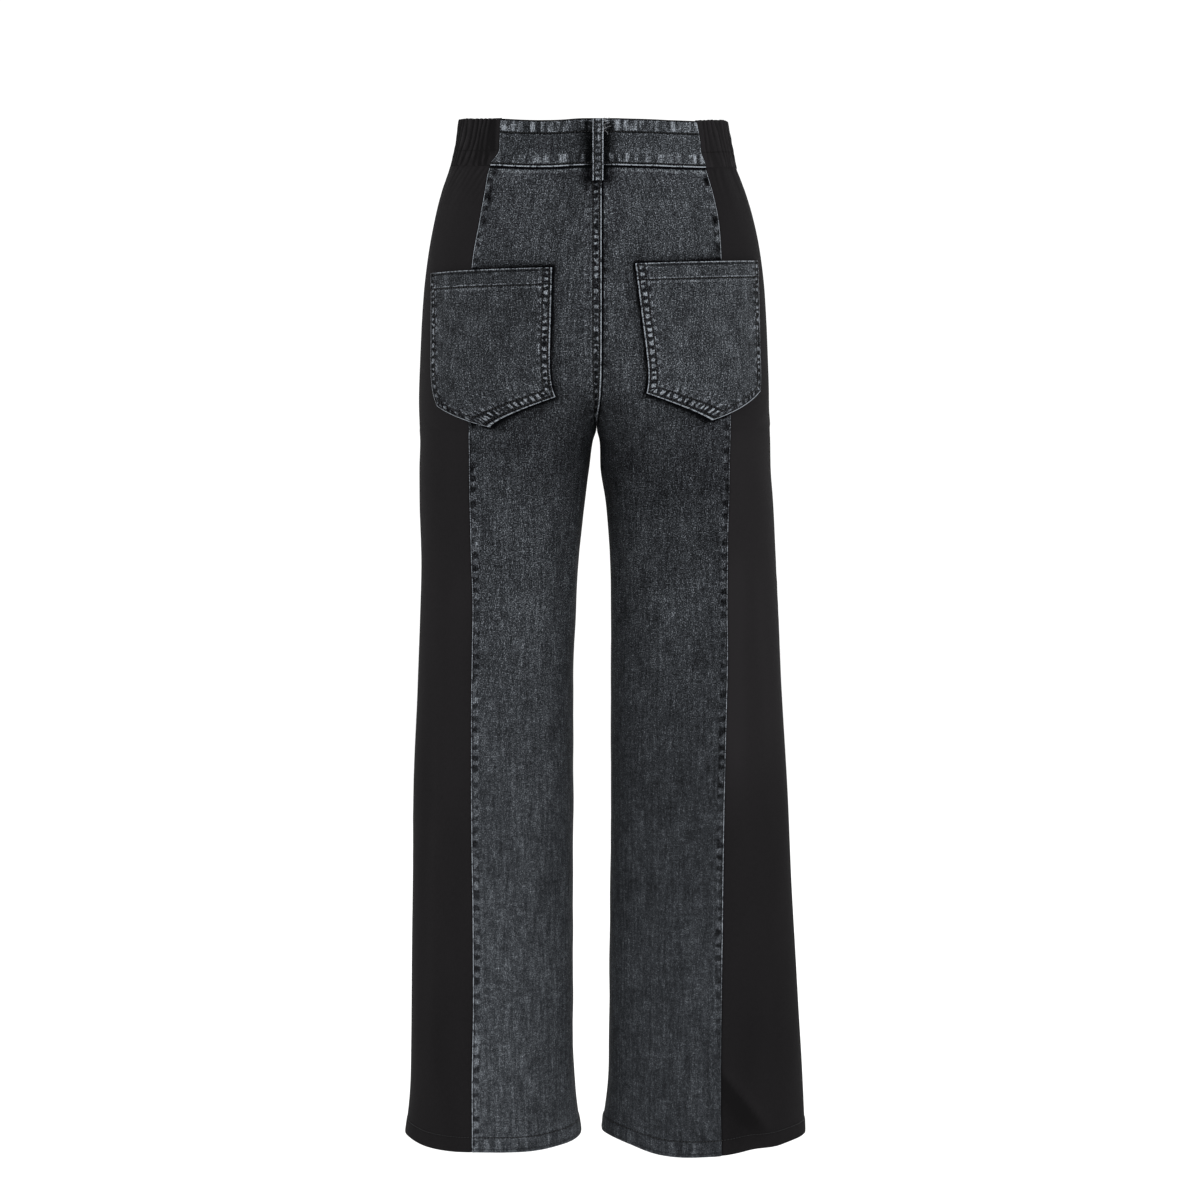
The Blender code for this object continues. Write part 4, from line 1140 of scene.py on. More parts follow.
def stitch_shape():
    """One stitch lying along X: a short fat thread with its ends sunk in the cloth."""
    bpy.ops.object.select_all(action="DESELECT")
    bpy.ops.mesh.primitive_uv_sphere_add(segments=6, ring_count=5, radius=0.5)
    made = bpy.context.active_object
    bpy.ops.object.mode_set(mode="EDIT")
    bpy.ops.mesh.select_all(action="SELECT")
    bpy.ops.transform.rotate(value=math.pi / 2, orient_axis="Y", center_override=(0, 0, 0))
    bpy.ops.object.mode_set(mode="OBJECT")
    mesh = made.data
    points = np.array([v.co[:] for v in mesh.vertices])
    faces = [tuple(p.vertices) for p in mesh.polygons]
    points[:, 0] = np.sign(points[:, 0]) * 0.5 * np.clip(np.abs(points[:, 0]) * 2, 0, 1) ** 0.6
    bpy.data.objects.remove(made)
    bpy.data.meshes.remove(mesh)
    return points, faces


def tree_of(thing):
    """Search tree over a piece's faces."""
    mesh = thing.data
    return BVHTree.FromPolygons([v.co for v in mesh.vertices], [tuple(p.vertices) for p in mesh.polygons])


def settle(points, normals, trees, reach=7 * MM):
    """Points and normals moved on to the nearest cloth that faces them."""
    placed, facing = [], []
    for point, normal in zip(points, normals):
        start, way = Vector(point + normal * reach), Vector(-normal)
        best = None
        for tree in trees:
            hit, hit_normal, _, distance = tree.ray_cast(start, way, 2.2 * reach)
            if hit is not None and (best is None or distance < best[2]):
                best = (np.array(hit), np.array(hit_normal), distance)
        if best is not None:
            placed.append(best[0])
            facing.append(best[1] if best[1] @ normal > 0 else normal)
    return np.array(placed), np.array(facing)


def sew(name, rows, trees, material):
    """Rows of stitches in one piece. Each row is its points and normals, before they settle on the cloth."""
    sewing = bpy.context.scene.jeans_sewing
    shape, shape_faces = stitch_shape()
    width = sewing.thread_width
    points, faces = [], []
    draw = np.random.default_rng(len(name) * 7 + len(rows))
    for path, normals in rows:
        run = run_of(path)
        count = int(run[-1] / sewing.stitch_pitch)
        if count < 1:
            continue
        middles = (np.arange(count) + 0.5) * run[-1] / count
        half = sewing.stitch_length / 2
        ends = np.stack([middles - half, middles, middles + half], axis=1).ravel()
        placed, facing = settle(along(ends, run, path), along(ends, run, normals), trees)
        if len(placed) != len(ends):
            continue
        placed, facing = placed.reshape(-1, 3, 3), facing.reshape(-1, 3, 3)
        for trio, normal in zip(placed, facing[:, 1]):
            ahead = trio[2] - trio[0]
            length = np.linalg.norm(ahead) * draw.uniform(0.93, 1.04)
            ahead = unit(ahead)
            across = unit(np.cross(normal, ahead))
            ahead = ahead + across * draw.uniform(-0.05, 0.05)
            centre = trio.mean(0) + normal * 0.10 * MM
            bow = (1 - (shape[:, 0:1] * 2) ** 2) * normal * 0.16 * MM
            body = (
                centre
                + shape[:, 0:1] * ahead * length
                + shape[:, 1:2] * across * width
                + shape[:, 2:3] * np.cross(ahead, across) * width * 0.8
                + bow
            )
            first = len(points) * len(shape)
            points.append(body)
            faces.extend(tuple(first + k for k in face) for face in shape_faces)
    mesh = bpy.data.meshes.new(name)
    mesh.from_pydata(np.concatenate(points).tolist(), [], faces)
    mesh.materials.append(material)
    mesh.shade_smooth()
    made = bpy.data.objects.new(name, mesh)
    bpy.context.scene.collection.objects.link(made)
    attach(made, "root")
    return made


def row_on(side, z, arc, way="back"):
    """A row of stitching as points and normals on the body line."""
    return charts()[side].at(np.asarray(z, float), np.asarray(arc, float), way)


def inset_line(a, b, distance, inward):
    """A straight flat row beside the edge from a to b, at that distance on the inward side."""
    along = (b - a) / np.linalg.norm(b - a)
    across = np.array([-along[1], along[0]])
    across *= np.sign(across @ (inward - a))
    return a + across * distance, along


def pocket_rows(row):
    """Two rows round the pocket's sides and foot, and one below its mouth."""
    side, c = pocket_flat(row)
    centre, ring = np.mean(list(c.values()), axis=0), ring_of(c)
    mouth, low = (inset_line(ring[0], ring[4], distance, centre) for distance in (0.8 * MM, POCKET_HEM))
    rows = []
    for distance in POCKET_ROWS:
        lines = [inset_line(a, b, distance, centre) for a, b in zip(ring[:-1], ring[1:])]
        chain = [meeting(a, b) for a, b in zip([mouth] + lines, lines + [mouth])]
        rows += list(zip(chain[:-1], chain[1:]))
    left, right = (inset_line(*ring[k : k + 2], POCKET_ROWS[0], centre) for k in (0, 3))
    rows.append((meeting(left, low), meeting(right, low)))
    t = np.linspace(0, 1, 40)[:, None]
    flats = [a + (b - a) * t for a, b in rows]
    return [row_on(side, flat[:, 1], flat[:, 0]) for flat in flats]


def meeting(one, two):
    """Where two flat lines cross."""
    (p, d), (q, e) = one, two
    t = ((q[0] - p[0]) * e[1] - (q[1] - p[1]) * e[0]) / (d[0] * e[1] - d[1] * e[0])
    return p + d * t


def band_rows():
    """Rows along the top and foot of the denim waistband pieces."""
    rows = []
    for z in BAND_ROWS:
        for side in SIDES:
            chart = charts()[side]
            back = float(chart.level(chart.back_seam, z)) - 1.5 * MM
            rows.append(row_on(side, np.full(60, z), np.linspace(0.0, back, 60)))
            ahead = float(chart.level(chart.front_seam, z)) - 1.5 * MM
            begin = 1.0 * MM if side > 0 else 3.0 * MM
            rows.append(row_on(side, np.full(60, z), np.linspace(begin, ahead, 60), "front"))
    return rows


# Operators


def find(*names):
    """Search trees of the pieces of these names."""
    return [tree_of(bpy.data.objects[name]) for name in names]


class JEANS_OT_stage(bpy.types.Operator):
    """Sets the floor, the soft lights and the camera behind the jeans"""

    bl_idname = "jeans.stage"
    bl_label = "Stage"

    def execute(self, context):
        stage = context.scene.jeans_stage
        bpy.ops.object.select_all(action="DESELECT")
        bpy.ops.mesh.primitive_circle_add(
            vertices=96, radius=FLOOR_RADIUS, fill_type="NGON", location=(0, 0, stage.floor_height)
        )
        floor = context.active_object
        floor.name = "studio_floor"
        floor.data.materials.append(plain("studio_floor", stage.floor_colour, 0.9))
        world = context.scene.world or bpy.data.worlds.new("studio")
        context.scene.world = world
        world.use_nodes = True
        sky = world.node_tree.nodes["Background"]
        sky.inputs["Color"].default_value = (1.0, 1.0, 1.0, 1.0)
        sky.inputs["Strength"].default_value = SKY_STRENGTH
        for name, place, size, watts in LIGHTS:
            bpy.ops.object.light_add(type="AREA", location=place)
            light = context.active_object
            light.name = name
            light.data.size = size
            light.data.energy = watts
            light.rotation_euler = (LIGHT_AIM - Vector(place)).to_track_quat("-Z", "Y").to_euler()
        bpy.ops.object.camera_add(
            location=(-3.5 * MM, stage.camera_distance, stage.camera_height),
            rotation=(math.pi / 2 - stage.camera_tilt, 0.0, math.pi),
        )
        camera = context.active_object
        camera.name = "photo_camera"
        camera.data.sensor_width = SENSOR
        camera.data.lens = SENSOR * FOCUS / PICTURE_WIDTH
        context.scene.camera = camera
        context.scene.view_settings.view_transform = "Standard"
        return {"FINISHED"}


class JEANS_OT_legs(bpy.types.Operator):
    """Makes the denim back and front legs"""

    bl_idname = "jeans.legs"
    bl_label = "Denim legs"

    def execute(self, context):
        reverse = denim_reverse()
        back = {
            1: denim("denim_back_left", seat="over"),
            -1: denim("denim_back_right", seat="under"),
        }
        ahead = denim("denim_front", seat="front")
        for side in SIDES:
            make_back_leg(side, back[side], reverse)
            make_front_leg(side, ahead, reverse)
        return {"FINISHED"}


class JEANS_OT_sides(bpy.types.Operator):
    """Makes the black side panels"""

    bl_idname = "jeans.sides"
    bl_label = "Black sides"

    def execute(self, context):
        face, reverse = twill("twill_face", 1.0), twill("twill_reverse", 1.25)
        for side in SIDES:
            make_side(side, False, face, reverse)
            make_side(side, True, face, reverse)
        return {"FINISHED"}


class JEANS_OT_waistband(bpy.types.Operator):
    """Makes the denim waistband and its gathered black sides"""

    bl_idname = "jeans.waistband"
    bl_label = "Waistband"

    def execute(self, context):
        band, lining = denim("denim_band", seat="band"), denim("denim_band_lining", seat="none")
        make_band_back(band, lining)
        face, reverse = twill("gathered_twill", 1.0), twill("gathered_twill_reverse", 1.2)
        for side in SIDES:
            make_band_front(side, band, lining)
            make_band_side(side, face, reverse)
        return {"FINISHED"}


class JEANS_OT_pockets(bpy.types.Operator):
    """Makes the patch pockets"""

    bl_idname = "jeans.pockets"
    bl_label = "Back pockets"

    def execute(self, context):
        face, reverse = denim("denim_pocket", seat="pocket"), denim_reverse()
        for row in POCKETS:
            make_pocket(row, face, reverse)
        return {"FINISHED"}


class JEANS_OT_loops(bpy.types.Operator):
    """Makes the belt loops"""

    bl_idname = "jeans.loops"
    bl_label = "Belt loops"

    def execute(self, context):
        face, reverse = denim("denim_loop", seat="loop"), denim_reverse()
        for row in LOOPS:
            make_loop(row, face, reverse)
        return {"FINISHED"}


class JEANS_OT_stitching(bpy.types.Operator):
    """Sews the rows of topstitching"""

    bl_idname = "jeans.stitching"
    bl_label = "Stitching"

    def execute(self, context):
        thread = plain("black_thread", context.scene.jeans_sewing.thread, 0.55)
        for row in POCKETS:
            name = side_name(row[0])
            sew("stitching_pocket_" + name, pocket_rows(row), find("jeans_pocket_" + name), thread)
        bands = find("jeans_band_back", "jeans_band_front_left", "jeans_band_front_right")
        sew("stitching_waistband", band_rows(), bands, thread)
        sew("stitching_seat", seat_rows(), find("jeans_back_left"), thread)
        sew("stitching_fly", fly_rows(), find("jeans_front_left"), thread)
        for side in SIDES:
            name = side_name(side)
            parts = ("back_", "side_back_", "side_front_", "front_")
            cloths = find(*("jeans_" + part + name for part in parts))
            sew("stitching_hem_" + name, hem_rows(side), cloths, thread)
        for row in LOOPS:
            sew("stitching_" + row[0], loop_rows(row), find("jeans_" + row[0]), thread)
        return {"FINISHED"}


def seat_rows():
    """Two rows on the felled seat seam, down to the crotch."""
    z = np.linspace(BAND_FOOT - 2 * MM, CROTCH + 22 * MM, 120)
    return [row_on(1, z, np.full(120, place)) for place in SEAT_ROWS]


def fly_rows():
    """Two curved rows that hold the fly's facing, and two down the front seam below it."""
    rows = []
    t = np.linspace(0.0, 1.0, 160)
    for inset in FLY_ROWS:
        straight = BAND_FOOT - 1.5 * MM + (FLY_FOOT + FLY_CURVE - BAND_FOOT) * np.clip(t * 1.6, 0, 1)
        angle = np.clip((t - 0.625) / 0.375, 0, 1) * math.pi / 2
        z = straight - (FLY_CURVE - inset * 0.4) * np.sin(angle)
        arc = (FLY_WIDTH - 3.2 * MM - inset) * np.cos(angle) ** 0.9 + 1.5 * MM
        rows.append(row_on(1, z, arc, "front"))
    z = np.linspace(FLY_FOOT - 4 * MM, CROTCH + 24 * MM, 60)
    return rows + [row_on(1, z, np.full(60, place), "front") for place in FRONT_SEAM_ROWS]


def hem_rows(side):
    """One row round the hem."""
    chart = charts()[side]
    total = float(chart.total[-6])
    arc = np.linspace(0.0, total, 400)
    return [row_on(side, np.full(400, HEM + HEM_HEIGHT), arc)]


def loop_rows(row):
    """A row near each edge of a belt loop."""
    loop = dict(zip(LOOP_COLUMNS, row))
    rows = []
    for across in (-LOOP_ROW, LOOP_ROW):
        place = (loop["middle"] + across) * MM
        side = 1 if place > 0 else -1
        z = np.linspace(20.5, -32.0, 60) * MM
        points, normals = row_on(side, z, np.full(60, abs(place)), loop["way"])
        normals = upright(normals)
        rows.append((points + normals * 6 * MM, normals))
    return rows


def round_blank(vertices, radius, depth, place):
    """A cylinder that faces forwards, placed in its mesh."""
    bpy.ops.mesh.primitive_cylinder_add(
        vertices=vertices, radius=radius, depth=depth, location=place, rotation=(math.pi / 2, 0, 0)
    )
    bpy.ops.object.transform_apply(location=True, rotation=True, scale=True)
    return bpy.context.active_object


class JEANS_OT_button(bpy.types.Operator):
    """Makes the shank button that shuts the waistband"""

    bl_idname = "jeans.button"
    bl_label = "Button"

    def execute(self, context):
        low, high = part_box("waist_button")
        centre = [(low[k] + high[k]) / 2 for k in range(3)]
        bpy.ops.object.select_all(action="DESELECT")
        made = round_blank(64, CAP_RADIUS, CAP_DEPTH, (centre[0], low[1] + 1.3 * MM, centre[2]))
        made.name = "waist_button_cap"
        bpy.ops.object.mode_set(mode="EDIT")
        bpy.ops.mesh.select_mode(type="FACE")
        bpy.ops.mesh.select_all(action="DESELECT")
        bpy.ops.object.mode_set(mode="OBJECT")
        for face in made.data.polygons:
            face.select = face.normal.y < -0.9
        bpy.ops.object.mode_set(mode="EDIT")
        bpy.ops.mesh.bevel(offset=0.7 * MM, segments=3, affect="EDGES")
        bpy.ops.mesh.inset(thickness=0.9 * MM)
        bpy.ops.transform.translate(value=(0, 0.45 * MM, 0))
        bpy.ops.mesh.inset(thickness=0.5 * MM)
        bpy.ops.mesh.inset(thickness=3.4 * MM)
        bpy.ops.transform.translate(value=(0, -0.35 * MM, 0))
        bpy.ops.object.mode_set(mode="OBJECT")
        round_blank(32, SHANK_RADIUS, SHANK_DEPTH, (centre[0], high[1] - SHANK_DEPTH / 2, centre[2]))
        made.select_set(True)
        context.view_layer.objects.active = made
        bpy.ops.object.join()
        made.data.materials.clear()
        made.data.materials.append(metal("dark_metal"))
        bpy.ops.object.shade_smooth_by_angle(angle=math.radians(35))
        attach(made, "root")
        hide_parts("waist_button")
        return {"FINISHED"}


class JEANS_OT_frays(bpy.types.Operator):
    """Scatters the loose yarns at the top of the back belt loop"""

    bl_idname = "jeans.frays"
    bl_label = "Frays"

    def execute(self, context):
        draw = np.random.default_rng(9)
        curve = bpy.data.curves.new("loop_frays", "CURVE")
        curve.dimensions = "3D"
        curve.bevel_depth = 0.14 * MM
        curve.bevel_resolution = 0
        for _ in range(context.scene.jeans_sewing.frays):
            z = BAND_TOP - draw.uniform(0.5, 13.0) * MM
            x = draw.uniform(-9.5, -6.0) * MM
            start, normal = charts()[-1].at(z, abs(x))
            lift = draw.uniform(1.4, 2.4) * MM
            point = start + normal * (lift + 0.3 * MM)
            way = np.array([draw.uniform(-1.0, 0.5), 0.1, draw.uniform(-1.0, 1.0)])
            spline = curve.splines.new("POLY")
            spline.points.add(5)
            for k in range(6):
                spline.points[k].co = (*point, 1.0)
                way = way + draw.uniform(-0.5, 0.5, 3) * np.array([1, 0.3, 1])
                point = point + way / np.linalg.norm(way) * draw.uniform(0.7, 1.4) * MM
        made = bpy.data.objects.new("loop_frays", curve)
        context.scene.collection.objects.link(made)
        bpy.ops.object.select_all(action="DESELECT")
        made.select_set(True)
        context.view_layer.objects.active = made
        bpy.ops.object.convert(target="MESH")
        made = context.active_object
        made.data.materials.append(plain("pale_yarn", (0.30, 0.31, 0.33), 0.9))
        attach(made, "root")
        return {"FINISHED"}


# Materials


class Wiring:
    """Short ways to add nodes to a material."""

    def __init__(self, material):
        self.tree = material.node_tree
        self.shader = self.tree.nodes["Principled BSDF"]

    def add(self, kind, inputs=None, **settings):
        node = self.tree.nodes.new(kind)
        for name, value in settings.items():
            setattr(node, name, value)
        for key, value in (inputs or {}).items():
            self.put(node.inputs[key], value)
        return node

    def put(self, socket, value):
        if isinstance(value, bpy.types.NodeSocket):
            self.tree.links.new(value, socket)
        else:
            socket.default_value = value

    def math(self, operation, *values):
        node = self.add("ShaderNodeMath", operation=operation)
        for socket, value in zip(node.inputs, values):
            self.put(socket, value)
        return node.outputs[0]

    def plus(self, *values):
        return reduce(lambda total, value: self.math("ADD", total, value), values)

    def times(self, *values):
        return reduce(lambda total, value: self.math("MULTIPLY", total, value), values)

    def centred(self, value, strength):
        """A 0 to 1 value as -half to +half of the strength."""
        return self.math("MULTIPLY_ADD", value, strength, -0.5 * strength)

    def rise(self, value, low, high, to_low=0.0, to_high=1.0):
        """to_low below low, to_high above high, and a soft change between."""
        given = {"Value": value, "From Min": low, "From Max": high, "To Min": to_low, "To Max": to_high}
        return self.add("ShaderNodeMapRange", given, interpolation_type="SMOOTHSTEP").outputs[0]

    def between(self, value, low, high, soft):
        """1 between low and high, with soft edges."""
        up = self.rise(value, low - soft, low + soft)
        return self.times(up, self.rise(value, high - soft, high + soft, 1.0, 0.0))

    def line(self, value, place, half):
        """1 on a thin line where the value is place."""
        away = self.math("ABSOLUTE", self.math("SUBTRACT", value, place))
        return self.rise(away, half * 0.25, half, 1.0, 0.0)

    def uv(self, name):
        spot = self.add("ShaderNodeUVMap", uv_map=name).outputs["UV"]
        split = self.add("ShaderNodeSeparateXYZ", {"Vector": spot})
        return split.outputs["X"], split.outputs["Y"]

    def place(self, x, y, across, down):
        """A vector for a pattern whose grains are across by down metres."""
        shares = {"X": self.times(x, 1 / across), "Y": self.times(y, 1 / down)}
        return self.add("ShaderNodeCombineXYZ", shares).outputs[0]

    def noise(self, vector, detail=1.0, roughness=0.5):
        given = {"Vector": vector, "Scale": 1.0, "Detail": detail, "Roughness": roughness}
        return self.add("ShaderNodeTexNoise", given, noise_dimensions="2D").outputs[0]

    def wear_and_shading(self):
        """How far the cloth's maker lightened or darkened each place: wash marks, painted light and shade.
        """
        node = self.add("ShaderNodeAttribute", attribute_name="wear_and_shading", attribute_type="GEOMETRY")
        return node.outputs["Fac"]

    def spot(self):
        """The place in space."""
        return self.add("ShaderNodeTexCoord").outputs["Object"]

    def weave(self, u, v, across, down):
        """The slanting lines of a twill weave."""
        slant = self.plus(self.times(u, 2 * math.pi / across), self.times(v, 2 * math.pi / down))
        return self.math("SINE", slant)

    def ramp(self, value, low, high):
        """A colour between two by the value."""
        node = self.add("ShaderNodeValToRGB", {"Fac": value})
        for element, colour in zip(node.color_ramp.elements, (low, high)):
            element.color = (*colour, 1.0)
        return node.outputs["Color"]

    def finish(self, colour, height, strength, depth, roughness, gloss):
        """Wires the colour and the relief into the shader."""
        self.put(self.shader.inputs["Base Color"], colour)
        bump = self.add("ShaderNodeBump", {"Height": height, "Strength": strength, "Distance": depth})
        self.put(self.shader.inputs["Normal"], bump.outputs["Normal"])
        self.put(self.shader.inputs["Roughness"], roughness)
        self.put(self.shader.inputs["Specular IOR Level"], gloss)


def new_material(name):
    """The material of this name with its wiring, or with None where it was made before."""
    material = bpy.data.materials.get(name)
    if material:
        return material, None
    material = bpy.data.materials.new(name)
    material.use_nodes = True
    return material, Wiring(material)


def plain(name, colour, roughness):
    """A material of one colour with a little unevenness, finer on thread than on the floor."""
    material, w = new_material(name)
    if w is None:
        return material
    spot = w.spot()
    scale, amount = (0.8, 0.02) if "floor" in name else (900.0, 0.3)
    uneven = w.add("ShaderNodeTexNoise", {"Vector": spot, "Scale": scale, "Detail": 2.0})
    mix = w.add("ShaderNodeMix", data_type="RGBA")
    w.put(mix.inputs["Factor"], uneven.outputs[0])
    w.put(mix.inputs[6], (*[c * (1 - amount) for c in colour], 1.0))
    w.put(mix.inputs[7], (*[min(c * (1 + amount), 1.0) for c in colour], 1.0))
    w.put(w.shader.inputs["Base Color"], mix.outputs[2])
    w.shader.inputs["Roughness"].default_value = roughness
    w.shader.inputs["Specular IOR Level"].default_value = 0.3
    return material


def metal(name):
    """Dark plated metal, rubbed brighter in small scratches."""
    material, w = new_material(name)
    if w is None:
        return material
    spot = w.spot()
    fine = w.add("ShaderNodeTexNoise", {"Vector": spot, "Scale": 1400.0, "Detail": 3.0}).outputs[0]
    ramp = w.add("ShaderNodeValToRGB", {"Fac": fine})
    ramp.color_ramp.elements[0].position = 0.35
    ramp.color_ramp.elements[0].color = (0.030, 0.030, 0.033, 1.0)
    ramp.color_ramp.elements[1].position = 0.75
    ramp.color_ramp.elements[1].color = (0.10, 0.10, 0.11, 1.0)
    w.shader.inputs["Metallic"].default_value = 1.0
    w.finish(ramp.outputs["Color"], fine, 0.15, 0.2 * MM, w.rise(fine, 0.3, 0.8, 0.28, 0.5), 0.5)
    return material


# What the sewing shows on each kind of denim piece, with a few painted shadows at lapped and rolled edges,
# in millimetres from the side seam or edge, the middle seam, the top or the hem. Lines are paler above 0 and
# darker below it. Strips are patches between rows: along which map, pitch, how light and how dark they are,
# and how much of the strip is dark
LINE_COLUMNS = ("from", "at", "half", "tone")
STRIP_COLUMNS = ("from", "low", "high", "along", "pitch", "light", "dark", "share")
SEAM_LINES = (
    ("side", 0.3, 0.9, 0.70),
    ("side", 1.6, 0.8, -0.22),
    ("hem", 15.0, 0.8, -0.42),
    ("hem", 0.3, 0.9, 0.30),
    ("hem", 3.4, 0.8, -0.16),
    # Painted shadow under the foot of the waistband
    ("top", 0.6, 2.3, -1.60),
    ("top", 4.6, 2.4, 0.24),
)
SEAM_STRIPS = (
    ("side", 1.2, 7.2, "v", 12.5, 0.16, -0.36, 0.45),
    ("hem", 1.2, 13.6, "u", 13.0, 0.10, -0.14, 0.44),
)
SEWN = {
    "over": {
        "lines": SEAM_LINES
        + (
            ("middle", 0.4, 0.8, 0.95),
            ("middle", 1.9, 1.0, -1.10),
            ("middle", 8.3, 0.9, -1.00),
            ("middle", 10.2, 1.0, 0.12),
        ),
        "strips": SEAM_STRIPS
        + (
            ("middle", 3.2, 7.3, "v", 7.4, 0.44, -0.46, 0.57),
            ("middle", 10.8, 17.0, "v", 9.0, 0.18, -0.12, 0.5),
        ),
    },
    "under": {
        # The dark middle line is a painted shadow beside the edge of the left back leg that laps over this
        # one
        "lines": SEAM_LINES + (("middle", 5.7, 1.8, -1.30),),
        "strips": SEAM_STRIPS + (("middle", 5.6, 11.0, "v", 9.0, 0.06, -0.22, 0.5),),
    },
    "front": {
        "lines": SEAM_LINES + (("middle", 0.3, 0.9, 0.60),),
        "strips": SEAM_STRIPS + (("middle", 1.2, 8.6, "v", 8.0, 0.36, -0.30, 0.5),),
    },
    "band": {
        "lines": (
            ("side", 0.4, 0.9, 0.60),
            # Painted shade on the band's rolled top edge
            ("top", 0.5, 1.5, -0.60),
            ("top", 13.0, 1.4, -0.80),
            ("top", 23.0, 12.0, -0.08),
            ("hem", 2.4, 1.1, -1.00),
            ("hem", 0.5, 0.8, 1.00),
        ),
        "strips": (
            ("top", 1.6, 11.6, "u", 8.0, 0.46, -0.24, 0.50),
            ("hem", 3.6, 12.0, "u", 8.6, 0.42, -0.24, 0.50),
        ),
    },
    "pocket": {
        "lines": (
            ("side", 0.4, 0.8, 0.80),
            ("side", 2.1, 1.0, -1.00),
            ("side", 8.3, 0.9, -1.00),
            ("top", 0.4, 0.8, 0.70),
            ("top", 2.6, 1.4, -0.35),
            ("top", 14.7, 0.7, 0.40),
            ("top", 16.0, 0.9, -1.20),
            ("top", 18.6, 1.6, 0.20),
        ),
        "strips": (
            ("side", 3.1, 7.4, "middle", 6.8, 0.52, -0.46, 0.55),
            ("side", 9.0, 12.6, "middle", 8.6, 0.26, -0.20, 0.5),
        ),
    },
    "loop": {
        "lines": (("side", 0.5, 0.8, 0.70), ("side", 2.0, 0.8, -0.90), ("top", 0.6, 1.2, 0.35)),
        "strips": (("side", 3.0, 6.4, "v", 6.4, 0.30, -0.34, 0.5),),
    },
    "none": {"lines": (), "strips": ()},
}

# Grains of the washed denim: millimetres across and down the cloth, detail and roughness
GRAINS = {
    "warp": (0.85, 8.0, 1.0, 0.5),
    "streak": (3.2, 40.0, 1.0, 0.5),
    "weft": (6.0, 0.9, 1.0, 0.5),
    "grain": (0.95, 1.25, 1.5, 0.7),
    "heather": (2.6, 3.4, 2.0, 0.6),
    "crinkle": (9.0, 5.5, 2.0, 0.55),
    "cloud": (15.0, 19.0, 2.0, 0.5),
    "broad": (60.0, 95.0, 1.0, 0.5),
    "patchy": (4.0, 6.0, 2.0, 0.5),
    "breaks": (26.0, 44.0, 1.0, 0.5),
}

# The denim's colours by tone: between shadow and middle, or between middle and wear
RAMP = ((0.2, "dark", 0.42), (0.4, "light", 0.0), (0.6, "light", 0.11), (0.8, "light", 0.42))


